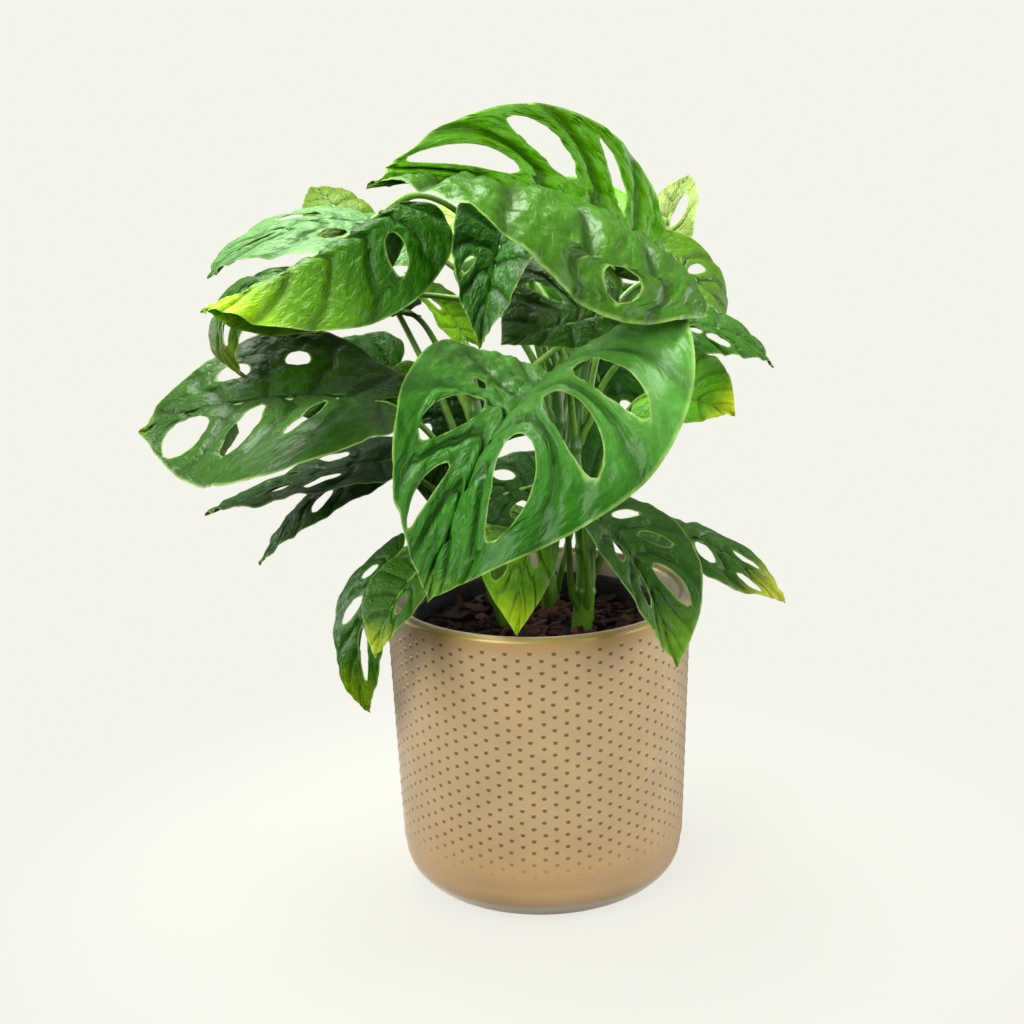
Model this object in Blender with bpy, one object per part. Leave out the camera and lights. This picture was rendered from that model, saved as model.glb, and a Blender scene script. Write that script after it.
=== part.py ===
"""A monstera with holed leaves in a ceramic pot, modelled in metres, +Z up.

The origin is the middle of the pot's flat foot, so the pot stands on z = 0. The front of the plant faces -Y.
"""
import math

import bmesh
import bpy
import numpy as np
from mathutils import Vector
from mathutils.geometry import delaunay_2d_cdt

MM = 0.001
CLEARANCE = 0.3 * MM  # between pieces that rest on or beside each other

# Decorative pot
POT_RIM_RADIUS = 70 * MM
POT_FOOT_RADIUS = 65 * MM  # where the tapered wall would meet the ground
POT_HEIGHT = 139 * MM
POT_CORNER = 19 * MM
POT_WALL = 5.5 * MM
POT_FLOOR = 8 * MM
POT_SIDES = 48

# Plastic nursery pot that holds the roots
LINER_BELOW_RIM = 10 * MM  # its rim stands this much lower than the decorative pot's rim
LINER_SIDE_GAP = 3.2 * MM
LINER_FOOT_GAP = 3 * MM
LINER_WALL = 1.4 * MM
LINER_LIP = 2.6 * MM
LINER_LIP_HEIGHT = 3 * MM
LINER_SIDES = 36
DRAIN_HOLES = 5
DRAIN_RADIUS = 4 * MM
DRAIN_CIRCLE = 26 * MM
DRAIN_TURN = math.radians(1)  # keeps the holes' corners off the edges between the floor's facets

# Potting mix
MIX_BELOW_LINER = 9 * MM
MIX_SIDES = 32

# Stems and leaves
STEM_SIDES = 8
PETIOLE_RADIUS = 1.45 * MM
PETIOLE_SWELL = 1.35  # how much thicker a petiole is at the stem
PETIOLE_RINGS = 8
BLADE_THICKNESS = 1.1 * MM
MARGIN_POINTS = 13  # along each half of a blade's edge
HOLE_POINTS = 7

MIX_TOP = POT_HEIGHT - LINER_BELOW_RIM - MIX_BELOW_LINER


# ------------------------------------------------------------------ scene and materials
def clear_scene():
    for old in list(bpy.data.objects):
        bpy.data.objects.remove(old, do_unlink=True)


def material(name, colour, roughness, metallic=0.0):
    made = bpy.data.materials.new(name)
    made.use_nodes = True
    shader = made.node_tree.nodes["Principled BSDF"]
    shader.inputs["Base Color"].default_value = (*colour, 1.0)
    shader.inputs["Roughness"].default_value = roughness
    shader.inputs["Metallic"].default_value = metallic
    return made


def add_object(name, points, faces, finish, recalculate=False):
    mesh = bpy.data.meshes.new(name)
    mesh.from_pydata([tuple(p) for p in points], [], faces)
    if recalculate:
        work = bmesh.new()
        work.from_mesh(mesh)
        bmesh.ops.recalc_face_normals(work, faces=work.faces)
        work.to_mesh(mesh)
        work.free()
    mesh.shade_smooth()
    mesh.set_sharp_from_angle(angle=math.radians(40))
    mesh.materials.append(finish)
    made = bpy.data.objects.new(name, mesh)
    bpy.context.scene.collection.objects.link(made)
    return made


# ------------------------------------------------------------------ turned pieces
def arc(centre, radius, start, end, steps):
    """Points (r, z) on a circle round centre, from start to end in degrees."""
    turn = np.radians(np.linspace(start, end, steps + 1))
    return [(centre[0] + radius * math.cos(a), centre[1] + radius * math.sin(a)) for a in turn]


def turned(name, profile, sides, finish):
    """Turn a profile of (r, z) points round Z. It starts and ends on the axis, at a point that closes it."""
    rings = profile[1:-1]
    points = [(0.0, 0.0, profile[0][1])]
    for r, z in rings:
        for k in range(sides):
            a = math.tau * k / sides
            points.append((r * math.cos(a), r * math.sin(a), z))
    points.append((0.0, 0.0, profile[-1][1]))
    last = len(points) - 1
    faces = []
    for k in range(sides):
        after = (k + 1) % sides
        faces.append((0, 1 + after, 1 + k))
        for j in range(len(rings) - 1):
            low, high = 1 + j * sides, 1 + (j + 1) * sides
            faces.append((low + k, low + after, high + after, high + k))
        top = 1 + (len(rings) - 1) * sides
        faces.append((top + k, top + after, last))
    return add_object(name, points, faces, finish, recalculate=True)


def pot_outer_radius(z):
    return POT_FOOT_RADIUS + (POT_RIM_RADIUS - POT_FOOT_RADIUS) * z / POT_HEIGHT


def pot_inner_radius(z):
    return pot_outer_radius(z) - POT_WALL


def pot_inner_corner():
    return POT_CORNER - POT_WALL


def cachepot(finish):
    corner_z = POT_CORNER
    rim = POT_WALL / 2
    rim_r = pot_outer_radius(POT_HEIGHT) - rim
    inside = pot_inner_corner()
    floor_r = pot_inner_radius(POT_FLOOR) - inside
    profile = [(0, 0)]
    profile += arc((pot_outer_radius(0) - POT_CORNER, corner_z), POT_CORNER, -90, 0, 6)
    profile += [(pot_outer_radius(z), z) for z in np.linspace(POT_HEIGHT * 0.4, POT_HEIGHT - rim, 3)[:-1]]
    profile += arc((rim_r, POT_HEIGHT - rim), rim, 0, 180, 6)
    profile += arc((floor_r, POT_FLOOR + inside), inside, 0, -90, 4)
    profile.append((0, POT_FLOOR))
    return turned("cachepot", profile, POT_SIDES, finish)


def liner_sizes():
    """Rim height, outer rim radius, foot height and outer foot radius of the nursery pot."""
    rim_z = POT_HEIGHT - LINER_BELOW_RIM
    rim_r = pot_inner_radius(rim_z) - LINER_SIDE_GAP
    foot_z = POT_FLOOR + CLEARANCE
    foot_r = pot_inner_radius(POT_FLOOR) - pot_inner_corner() - LINER_FOOT_GAP
    return rim_z, rim_r, foot_z, foot_r


def liner_inner_radius(z):
    """Inner radius of the nursery pot's tapered wall at height z."""
    rim_z, rim_r, foot_z, foot_r = liner_sizes()
    share = (z - foot_z) / (rim_z - foot_z)
    return foot_r + (rim_r - LINER_LIP - foot_r) * share - LINER_WALL


def nursery_pot(finish):
    rim_z, rim_r, foot_z, foot_r = liner_sizes()
    lip_z = rim_z - LINER_LIP_HEIGHT
    floor_z = foot_z + LINER_WALL
    lip_inner = liner_inner_radius(rim_z)
    profile = [
        (0, foot_z),
        (foot_r, foot_z),
        (liner_inner_radius(lip_z) + LINER_WALL, lip_z),
        (rim_r, lip_z),
        (rim_r, rim_z),
        (lip_inner, rim_z),
        (liner_inner_radius(floor_z), floor_z),
        (0, floor_z),
    ]
    liner = turned("nursery_pot", profile, LINER_SIDES, finish)
    for k in range(DRAIN_HOLES):
        a = math.tau * (k + 0.5) / DRAIN_HOLES + DRAIN_TURN
        place = (DRAIN_CIRCLE * math.cos(a), DRAIN_CIRCLE * math.sin(a), foot_z + LINER_WALL / 2)
        depth = 4 * LINER_WALL
        bpy.ops.mesh.primitive_cylinder_add(vertices=12, radius=DRAIN_RADIUS, depth=depth, location=place)
        cutter = bpy.context.object
        cutter.name = f"drain_cutter_{k + 1}"
        cutter.hide_render = True
        cutter.display_type = "WIRE"
        cut = liner.modifiers.new(f"drain_{k + 1}", "BOOLEAN")
        cut.operation = "DIFFERENCE"
        cut.object = cutter
    return liner


def potting_mix(finish):
    bottom = liner_sizes()[2] + LINER_WALL + CLEARANCE
    profile = [
        (0, bottom),
        (liner_inner_radius(bottom) - CLEARANCE, bottom),
        (liner_inner_radius(MIX_TOP) - CLEARANCE, MIX_TOP),
        (0, MIX_TOP),
    ]
    return turned("potting_mix", profile, MIX_SIDES, finish)


# ------------------------------------------------------------------ tubes
def smooth_route(route, samples):
    """Points on a Catmull-Rom curve through the route's own points, spaced evenly in its parameter."""
    route = np.asarray(route, float)
    spans = len(route) - 1
    place = np.linspace(0, spans, samples)
    i = np.minimum(place.astype(int), spans - 1)
    t = (place - i)[:, None]
    ends = np.vstack([2 * route[0] - route[1], route, 2 * route[-1] - route[-2]])
    a, b, c, d = ends[i], ends[i + 1], ends[i + 2], ends[i + 3]
    return 0.5 * (2 * b + (c - a) * t + (2 * a - 5 * b + 4 * c - d) * t**2 + (3 * b - a - 3 * c + d) * t**3)


def unit(v):
    return v / np.linalg.norm(v, axis=-1, keepdims=True)


def tube_rings(path, radii, side, sides):
    """Rings of points round a path; side is the first ring's sideways direction, carried along untwisted."""
    tangent = unit(np.gradient(path, axis=0))
    rings = []
    for centre, along, radius in zip(path, tangent, radii):
        side = unit(side - np.dot(side, along) * along)
        up = np.cross(along, side)
        turn = math.tau * (np.arange(sides) + 0.5) / sides
        rings.append(centre + radius * (np.outer(np.cos(turn), side) + np.outer(np.sin(turn), up)))
    return rings


def stitch(rings, first=0):
    """Quads between rings of equal length whose points start at index first."""
    sides = len(rings[0])
    faces = []
    for j in range(len(rings) - 1):
        low, high = first + j * sides, first + (j + 1) * sides
        for k in range(sides):
            after = (k + 1) % sides
            faces.append((low + k, low + after, high + after, high + k))
    return faces


# Each stem: its route in millimetres above the mix, its radius at the foot and at the top
STEMS = {
    "a": dict(route=[(20, -6, 0), (22, -4, 40), (17, 2, 85), (24, 8, 130)], foot=5.0, top=3.0),
    "b": dict(route=[(-14, 4, 0), (-18, 6, 35), (-24, 3, 80), (-29, 8, 125)], foot=4.4, top=2.8),
    "c": dict(route=[(6, 26, 0), (4, 29, 45), (11, 32, 90), (8, 38, 135)], foot=4.2, top=2.6),
}


def stem_route(key, samples):
    path = smooth_route(STEMS[key]["route"], samples) * MM
    path[:, 2] += MIX_TOP + CLEARANCE
    return path


def stem_radius(key, share):
    own = STEMS[key]
    joint = 1 + 0.10 * np.maximum(0, np.cos(math.tau * share * 6)) ** 8
    return (own["foot"] + (own["top"] - own["foot"]) * share) * joint * MM


def stem(key, finish):
    rings_count = 19
    path = stem_route(key, rings_count)
    share = np.linspace(0, 1, rings_count)
    rings = tube_rings(path, stem_radius(key, share), np.array([1.0, 0, 0]), STEM_SIDES)
    rings[0][:, 2] = path[0][2]
    points = np.vstack(rings)
    faces = stitch(rings)
    faces.append(tuple(range(STEM_SIDES))[::-1])
    tip = (rings_count - 1) * STEM_SIDES
    faces.append(tuple(range(tip, tip + STEM_SIDES)))
    return add_object(f"stem_{key}", points, faces, finish, recalculate=True)


# ------------------------------------------------------------------ leaf blades
# Half of a blade's edge from the notch at its base, round the lobe, to the tip:
# (share of the length, share of the half width)
EDGE = np.array([(0, 0), (-0.10, 0.20), (-0.135, 0.46), (-0.05, 0.80), (0.18, 1.0), (0.44, 0.93),
                 (0.68, 0.64), (0.86, 0.30), (0.95, 0.10), (1, 0)])
FIRST_VEIN = 0.22  # veins before this share of the edge all start at the blade's base


def along_edge(u):
    place = np.clip(u, 0, 1) * (len(EDGE) - 1)
    i = np.minimum(place.astype(int), len(EDGE) - 2)
    t = (place - i)[..., None]
    ends = np.vstack([2 * EDGE[0] - EDGE[1], EDGE, 2 * EDGE[-1] - EDGE[-2]])
    a, b, c, d = ends[i], ends[i + 1], ends[i + 2], ends[i + 3]
    return 0.5 * (2 * b + (c - a) * t + (2 * a - 5 * b + 4 * c - d) * t**2 + (3 * b - a - 3 * c + d) * t**3)


def fan(u, v):
    """A point on the flat half blade: u picks the vein by its end on the edge, v runs from midrib to edge.

    Each vein is a quadratic curve from the midrib, leaning out before it turns towards the tip.
    """
    u = np.asarray(u, float)
    v = np.asarray(v, float)[..., None]
    edge = along_edge(u)
    root = np.stack([np.clip((u - FIRST_VEIN) / (1 - FIRST_VEIN), 0, 1) ** 1.15, np.zeros_like(u)], -1)
    lean = np.stack([root[..., 0] + 0.25 * (edge[..., 0] - root[..., 0]), 0.5 * edge[..., 1]], -1)
    return (1 - v) ** 2 * root + 2 * v * (1 - v) * lean + v**2 * edge


def blade_place(leaf, a, b):
    """Where a point of the flat blade goes: a is its share of the length, b its signed share of the width.

    The midrib is a curve whose slope and heading change along it. Across it, each half leaves at its own
    angle and curls as a circular arc.
    """
    steps = np.linspace(-0.25, 1.05, 81)
    past = np.clip(steps, 0, None)
    dip = np.radians(leaf["pitch"] + leaf["bend"] * past ** leaf["ease"])
    head = np.radians(leaf["head"] + leaf["swerve"] * past)
    along = np.stack([np.cos(dip) * np.cos(head), np.cos(dip) * np.sin(head), -np.sin(dip)], -1)
    pieces = (along[1:] + along[:-1]) / 2 * (steps[1] - steps[0]) * leaf["length"] * MM
    rib = np.vstack([np.zeros(3), np.cumsum(pieces, 0)])

    def at(table, share):
        return np.stack([np.interp(share, steps, table[:, k]) for k in range(3)], -1)

    rib = rib - at(rib, np.array(0.0)) + leaf["base"]
    a = np.asarray(a, float)
    b = np.asarray(b, float)
    forward = unit(at(along, a))
    heading = np.interp(a, steps, head)
    side = np.stack([-np.sin(heading), np.cos(heading), np.zeros_like(heading)], -1)
    up = np.cross(forward, side)
    roll = np.radians(leaf["roll"] + leaf["twist"] * np.clip(a, 0, 1))[..., None]
    side, up = np.cos(roll) * side + np.sin(roll) * up, -np.sin(roll) * side + np.cos(roll) * up
    left = b >= 0
    half = leaf["width"] * MM / 2
    reach = np.abs(b) * half * (1 + leaf["uneven"] * np.where(left, 1, -1))
    rise = np.radians(np.where(left, leaf["lift"][0], leaf["lift"][1]))
    curl = np.radians(np.where(left, leaf["curl"][0], leaf["curl"][1])) / half
    curl = np.where(np.abs(curl) < 1e-3, 1e-3, curl)
    out = (np.sin(rise + curl * reach) - np.sin(rise)) / curl
    over = (np.cos(rise) - np.cos(rise + curl * reach)) / curl
    return at(rib, a) + side * (np.where(left, 1, -1) * out)[..., None] + up * over[..., None]


# Holes between the veins: (half, u, v, half width in u, half length in v); +1 is the half left of the midrib
FEW_HOLES = [(1, 0.50, 0.50, 0.040, 0.22), (-1, 0.50, 0.50, 0.040, 0.22), (1, 0.66, 0.48, 0.035, 0.20),
             (-1, 0.66, 0.48, 0.035, 0.20)]
TWO_HOLES = [(1, 0.55, 0.50, 0.045, 0.22), (-1, 0.55, 0.50, 0.045, 0.22)]

# One row a leaf. base: blade base in mm (z above the mix), stem and height of its petiole, size in mm,
# head: degrees anticlockwise from +X, pitch: degrees below level at the base, bend: how much more at the tip,
# lift: angle at which the left and right halves leave the midrib, curl: how much each turns up by its edge
LEAVES = {
    "crown": dict(
        base=(37, -4, 164), stem="b", at=98, splay=0.4, length=134, width=135, uneven=0.29, head=211,
        pitch=-47, bend=51, roll=-16, twist=-29, lift=(51, 49), curl=(-85, 26),
        holes=[(-1, 0.71, 0.60, 0.035, 0.30), (-1, 0.58, 0.64, 0.035, 0.28),
               (-1, 0.44, 0.76, 0.030, 0.16), (1, 0.49, 0.86, 0.035, 0.07)],
    ),
    "front": dict(
        base=(10, -32, 121), stem="a", at=100, length=131, width=135, uneven=0.26, head=238, pitch=2,
        bend=62, roll=18, twist=-59, lift=(38, 12), curl=(-55, 67),
        holes=[(-1, 0.57, 0.46, 0.040, 0.18), (1, 0.68, 0.52, 0.042, 0.24), (1, 0.55, 0.62, 0.030, 0.22),
               (1, 0.45, 0.66, 0.035, 0.22), (-1, 0.70, 0.52, 0.02, 0.24)],
    ),
    "arch": dict(
        base=(-57, -31, 201), stem="c", at=98, splay=0.0, length=103, width=88, uneven=-0.14, head=215,
        pitch=28, bend=-19, roll=-5, twist=6, swerve=9, lift=(-50, -47), curl=(-15, -24),
    ),
    "silver": dict(
        base=(-58, 38, 178), stem="c", at=112, splay=0.4, length=97, width=66, head=189, pitch=-25,
        bend=69, roll=-12, lift=(-5, -4), curl=(-7, -6),
        holes=[(1, 0.77, 0.40, 0.06, 0.20), (1, 0.53, 0.44, 0.040, 0.14), (-1, 0.60, 0.50, 0.04, 0.22)],
    ),
    "curl": dict(
        base=(-81, 13, 161), stem="a", at=122, neck=0.3, splay=0.3, length=100, width=54, uneven=-0.19,
        head=195, pitch=-21, bend=177, ease=1.7, roll=-11, twist=-6, swerve=18, lift=(-8, -12),
        curl=(-25, -41),
        holes=[(1, 0.72, 0.45, 0.05, 0.28)],
    ),
    "peek": dict(
        base=(-82, 61, 176), stem="b", at=60, neck=0.2, splay=0.4, length=52, width=34, head=128,
        pitch=-43, bend=45, roll=-22, swerve=-15, lift=(-10, -7), curl=(-11, -28),
    ),
    "veil": dict(
        base=(-20, 64, 174), stem="a", at=115, splay=0.1, length=66, width=53, head=144, pitch=-23,
        bend=32, roll=-17, lift=(-5, -16), curl=(-15, -8),
        holes=TWO_HOLES[1:],
    ),
    "teal": dict(
        base=(-58, 22, 146), stem="b", at=109, splay=0.6, length=60, width=46, head=182, pitch=-3,
        bend=28, roll=-16, twist=-10, lift=(3, 0), curl=(36, 0),
        holes=TWO_HOLES[:1],
    ),
    "wing": dict(
        base=(-68, -15, 112), stem="b", at=57, splay=0.4, length=118, width=123, uneven=0.16, head=179,
        pitch=-8, bend=32, roll=-18, twist=-45, swerve=-22, lift=(20, -18), curl=(-6, 23),
        holes=[(1, 0.77, 0.60, 0.055, 0.24), (1, 0.59, 0.36, 0.030, 0.20), (1, 0.45, 0.42, 0.025, 0.18),
               (-1, 0.66, 0.66, 0.035, 0.14), (-1, 0.53, 0.58, 0.025, 0.06)],
    ),
    "back_left": dict(
        base=(-62, 47, 116), stem="b", at=44, splay=0.4, length=60, width=56, head=208, pitch=17,
        bend=-6, roll=-47, lift=(0, -6), curl=(-15, -17),
        holes=TWO_HOLES,
    ),
    "under_left": dict(
        base=(-66, -2, 82), stem="b", at=84, length=91, width=63, head=173, pitch=9, bend=15, roll=-10,
        twist=8, lift=(3, -2),
        holes=FEW_HOLES,
    ),
    "fang": dict(
        base=(-77, 30, 71), stem="b", at=28, length=71, width=40, head=197, pitch=12, bend=50,
        lift=(-11, -12), curl=(-19, -27),
        holes=TWO_HOLES,
    ),
    "pendant": dict(
        rim=(205, -2, 46), stem="b", at=14, neck=0.35, length=80, width=49, head=216, pitch=33,
        bend=84, roll=8, twist=-9, swerve=18, lift=(6, 2), curl=(7, -17),
        holes=[(-1, 0.40, 0.34, 0.03, 0.16), (-1, 0.55, 0.36, 0.04, 0.26), (1, 0.68, 0.42, 0.055, 0.32),
               (1, 0.48, 0.50, 0.030, 0.20)],
    ),
    "tongue": dict(
        rim=(232, 10, 51), stem="b", at=6, length=48, width=33, uneven=-0.13, head=232, pitch=17,
        bend=53, lift=(4, 3), curl=(-10, -12),
        holes=[(1, 0.61, 0.40, 0.05, 0.20)],
    ),
    "lemon": dict(
        base=(-2, -18, 58), stem="c", at=6, neck=0.2, splay=0.6, length=65, width=37, uneven=-0.23,
        head=261, pitch=22, bend=26, roll=-8, lift=(-12, 0), curl=(-14, -9),
        holes=[(-1, 0.61, 0.58, 0.045, 0.24), (1, 0.57, 0.28, 0.04, 0.16)],
    ),
    "apron": dict(
        rim=(310, -31, 61), stem="a", at=20, neck=0.3, length=84, width=57, uneven=0.21, head=304,
        pitch=19, bend=36, roll=-6, swerve=-12, lift=(12, 20), curl=(-12, 0),
        holes=[(1, 0.34, 0.46, 0.03, 0.20), (1, 0.48, 0.48, 0.030, 0.20), (1, 0.65, 0.52, 0.045, 0.30),
               (-1, 0.52, 0.40, 0.035, 0.22), (-1, 0.68, 0.40, 0.035, 0.22)],
    ),
    "reach": dict(
        rim=(5, -16, 48), stem="a", at=34, length=71, width=55, head=344, pitch=13, bend=33, roll=19,
        twist=16, lift=(-19, 5), curl=(-30, 21),
        holes=[(-1, 0.55, 0.34, 0.04, 0.22), (1, 0.72, 0.34, 0.04, 0.22), (-1, 0.74, 0.70, 0.04, 0.20)],
    ),
    "shade": dict(
        base=(-11, 1, 187), stem="c", at=122, length=76, width=46, uneven=-0.10, head=259, pitch=27,
        bend=16, lift=(25, 38), curl=(2, 20),
        holes=[(-1, 0.61, 0.66, 0.02, 0.18)],
    ),
    "fan": dict(
        base=(36, -14, 148), stem="c", at=118, neck=0.35, splay=0.5, length=57, width=56, uneven=-0.5,
        head=203, pitch=3, bend=7, roll=-46, twist=9, swerve=10, lift=(-2, -4), curl=(-11, -3),
        holes=[(-1, 0.57, 0.54, 0.03, 0.24), (-1, 0.46, 0.48, 0.03, 0.20)],
    ),
    "ghost": dict(
        base=(63, 78, 159), stem="c", at=112, length=55, width=32, uneven=-0.14, head=66, pitch=-62,
        bend=42, lift=(2, 20), curl=(-16, 3),
        holes=[(-1, 0.58, 0.44, 0.09, 0.32)],
    ),
    "cape": dict(
        base=(54, 42, 154), stem="a", at=92, neck=0.3, splay=0.3, length=51, width=58, head=15, pitch=-15,
        bend=97, roll=26, lift=(17, 13), curl=(-1, -5),
        holes=[(1, 0.47, 0.30, 0.04, 0.16), (1, 0.60, 0.36, 0.03, 0.2)],
    ),
    "hook": dict(
        base=(60, -4, 141), stem="a", at=97, neck=0.15, splay=0.1, length=56, width=40, head=10,
        pitch=-4, bend=56, roll=21, lift=(4, 2), curl=(-15, -20),
        holes=[(-1, 0.54, 0.56, 0.05, 0.22), (-1, 0.42, 0.30, 0.035, 0.16)],
    ),
    "frill": dict(
        base=(53, 5, 108), stem="a", at=60, length=42, width=50, uneven=0.24, head=328, pitch=-2,
        bend=18, roll=24, lift=(14, -5), curl=(-16, -5),
        holes=[(1, 0.49, 0.24, 0.03, 0.12)],
    ),
    "rear": dict(
        base=(33, 57, 161), stem="c", at=122, neck=0.1, length=73, width=57, head=113, pitch=-45,
        bend=34, roll=-16, lift=(6, 7), curl=(-9, -11),
        holes=FEW_HOLES,
    ),
    "lime": dict(
        base=(-32, 43, 130), stem="b", at=117, neck=0.4, splay=0.4, length=49, width=31, head=132,
        pitch=-48, bend=31, lift=(18, 0), curl=(-1, -10),
        holes=TWO_HOLES[:1],
    ),
    "inner": dict(
        base=(6, -19, 75), stem="a", at=18, neck=0.2, length=48, width=38, head=204, pitch=5, bend=9,
        roll=-50, lift=(-5, -5), curl=(-10, -10),
        holes=TWO_HOLES,
    ),
    "back_right": dict(
        base=(28, 80, 139), stem="c", at=102, neck=0.2, splay=0.8, length=76, width=62, head=62,
        pitch=-39, bend=70, roll=8, lift=(-5, -5), curl=(-15, -15),
        holes=FEW_HOLES,
    ),
    "back_low": dict(
        base=(0, 64, 84), stem="c", at=46, neck=0.2, length=91, width=74, head=113, pitch=3, bend=43,
        lift=(-5, -5), curl=(-15, -15),
        holes=FEW_HOLES,
    ),
    "back_high": dict(
        base=(5, 55, 148), stem="c", at=111, neck=0.2, length=88, width=68, head=108, pitch=-31,
        bend=63, lift=(-5, -5), curl=(-15, -15),
        holes=FEW_HOLES,
    ),
    "back_rim": dict(
        base=(24, 52, 62), stem="c", at=6, neck=0.4, length=84, width=64, head=95, pitch=1, bend=50,
        lift=(-5, -5), curl=(-15, -15),
        holes=FEW_HOLES,
    ),
    "deep_left": dict(
        base=(-37, 57, 102), stem="b", at=92, splay=0.3, length=66, width=56, head=259, pitch=42, bend=34,
        lift=(-4, -4), curl=(-12, -12),
        holes=TWO_HOLES,
    ),
    "deep_right": dict(
        base=(31, 65, 111), stem="c", at=93, splay=0.3, length=70, width=58, head=276, pitch=46, bend=30,
        lift=(-4, -4), curl=(-12, -12),
        holes=TWO_HOLES,
    ),
}
PLAIN_LEAF = dict(
    roll=0, twist=0, swerve=0, ease=1.0, uneven=0.0, lift=(0, 0), curl=(0, 0), neck=0.25, splay=0.2, holes=[],
)


def leaf_design(name):
    """A leaf's row with its unstated values filled in and its base as a point in metres.

    A leaf that hangs over the pot is placed from the pot's rim: (bearing, distance outside the rim, height).
    """
    leaf = {**PLAIN_LEAF, **LEAVES[name]}
    if "rim" in leaf:
        bearing, outside, height = leaf["rim"]
        radius = POT_RIM_RADIUS + outside * MM
        a = math.radians(bearing)
        leaf["base"] = np.array([radius * math.cos(a), radius * math.sin(a), MIX_TOP + height * MM])
    else:
        leaf["base"] = np.array(leaf["base"]) * MM + np.array([0, 0, MIX_TOP])
    return leaf


def edge_points(leaf):
    """The blade's edge in the flat, from the notch up the left half to the tip and back down the right."""
    u = np.linspace(0, 1, MARGIN_POINTS + 1)
    u[1] *= 0.35
    half = along_edge(u)
    left = [(a, b) for a, b in half]
    right = [(a, -b) for a, b in half[-2:0:-1]]
    return left + right


def hole_points(hole):
    half, u, v, du, dv = hole
    turn = math.tau * np.arange(HOLE_POINTS) / HOLE_POINTS
    place = fan(u + du * np.sin(turn), v + dv * np.cos(turn))
    loop = [(a, half * b) for a, b in place]
    return loop[::-1] if half < 0 else loop


def flat_blade(leaf):
    """Triangles of the flat blade, with its outer edge and its holes as loops of point numbers."""
    loops = [edge_points(leaf)] + [hole_points(h) for h in leaf["holes"]]
    aspect = leaf["width"] / leaf["length"] / 2
    points, edges, numbers = [], [], []
    for loop in loops:
        first = len(points)
        points += loop
        numbers.append(list(range(first, first + len(loop))))
        edges += [(first + k, first + (k + 1) % len(loop)) for k in range(len(loop))]
    rib = [(a, 0.0) for a in np.linspace(0.09, 0.91, 8)]
    first = len(points)
    points += rib
    chain = [0] + list(range(first, first + len(rib))) + [MARGIN_POINTS]
    edges += list(zip(chain, chain[1:]))
    for half in (1, -1):
        for u in (0.30, 0.45, 0.60, 0.75):
            a, b = fan(u, 0.55)
            if all(h[0] != half or abs(h[1] - u) > h[3] + 0.05 for h in leaf["holes"]):
                points.append((a, half * b))
    flat = [Vector((a, b * aspect)) for a, b in points]
    out = delaunay_2d_cdt(flat, edges, [], 0, 1e-7)
    faces, origin = out[2], out[3]
    back = {k: source[0] for k, source in enumerate(origin) if source}
    kept = []
    outlines = [np.array([(points[i][0], points[i][1]) for i in loop]) for loop in numbers]
    for face in faces:
        middle = np.mean([points[back[k]] for k in face], axis=0)
        if inside(middle, outlines[0]) and not any(inside(middle, hole) for hole in outlines[1:]):
            kept.append([back[k] for k in face])
    return np.array(points), kept, numbers


def inside(point, outline):
    """Whether a point lies within a closed outline, by counting crossings."""
    x, y = point
    ax, ay = outline[:, 0], outline[:, 1]
    bx, by = np.roll(ax, -1), np.roll(ay, -1)
    crosses = (ay > y) != (by > y)
    where = ax + (y - ay) * (bx - ax) / np.where(by == ay, 1, by - ay)
    return bool(np.count_nonzero(crosses & (x < where)) % 2)


def blade_normals(leaf, flat):
    """Upward unit normals of the bent blade, from small steps along and across it."""
    step = 1e-3
    a, b = flat[:, 0], flat[:, 1]
    along = blade_place(leaf, a + step, b) - blade_place(leaf, a - step, b)
    half = np.where(b >= 0, 1, -1)
    b_in = np.where(np.abs(b) < step, half * step, b)
    across = blade_place(leaf, a, b_in + step) - blade_place(leaf, a, b_in - step)
    normal = unit(np.cross(along, across))
    other = np.abs(b) < step
    b_out = np.where(other, -half * step * 2, b)
    across = blade_place(leaf, a, b_out + step) - blade_place(leaf, a, b_out - step)
    return unit(normal + np.where(other[:, None], unit(np.cross(along, across)), 0))


def petiole_path(leaf, notch, backward):
    """A cubic curve from the blade's notch to the side of its stem."""
    samples = 41
    path = stem_route(leaf["stem"], samples)
    share = np.interp(MIX_TOP + leaf["at"] * MM, path[:, 2], np.linspace(0, 1, samples))
    centre = np.array([np.interp(share, np.linspace(0, 1, samples), path[:, k]) for k in range(3)])
    away = notch - centre
    away[2] = 0
    away = unit(away)
    stand_off = stem_radius(leaf["stem"], 0.0) + PETIOLE_RADIUS * PETIOLE_SWELL + CLEARANCE
    foot = centre + away * stand_off
    chord = np.linalg.norm(notch - foot)
    climb = unit(np.array([0, 0, 1.0]) + leaf["splay"] * away)
    bow = foot + climb * chord * 0.38
    neck = notch + backward * chord * leaf["neck"]
    t = np.linspace(0, 1, PETIOLE_RINGS + 1)[1:, None]
    return (1 - t) ** 3 * notch + 3 * t * (1 - t) ** 2 * neck + 3 * t**2 * (1 - t) * bow + t**3 * foot


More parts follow.
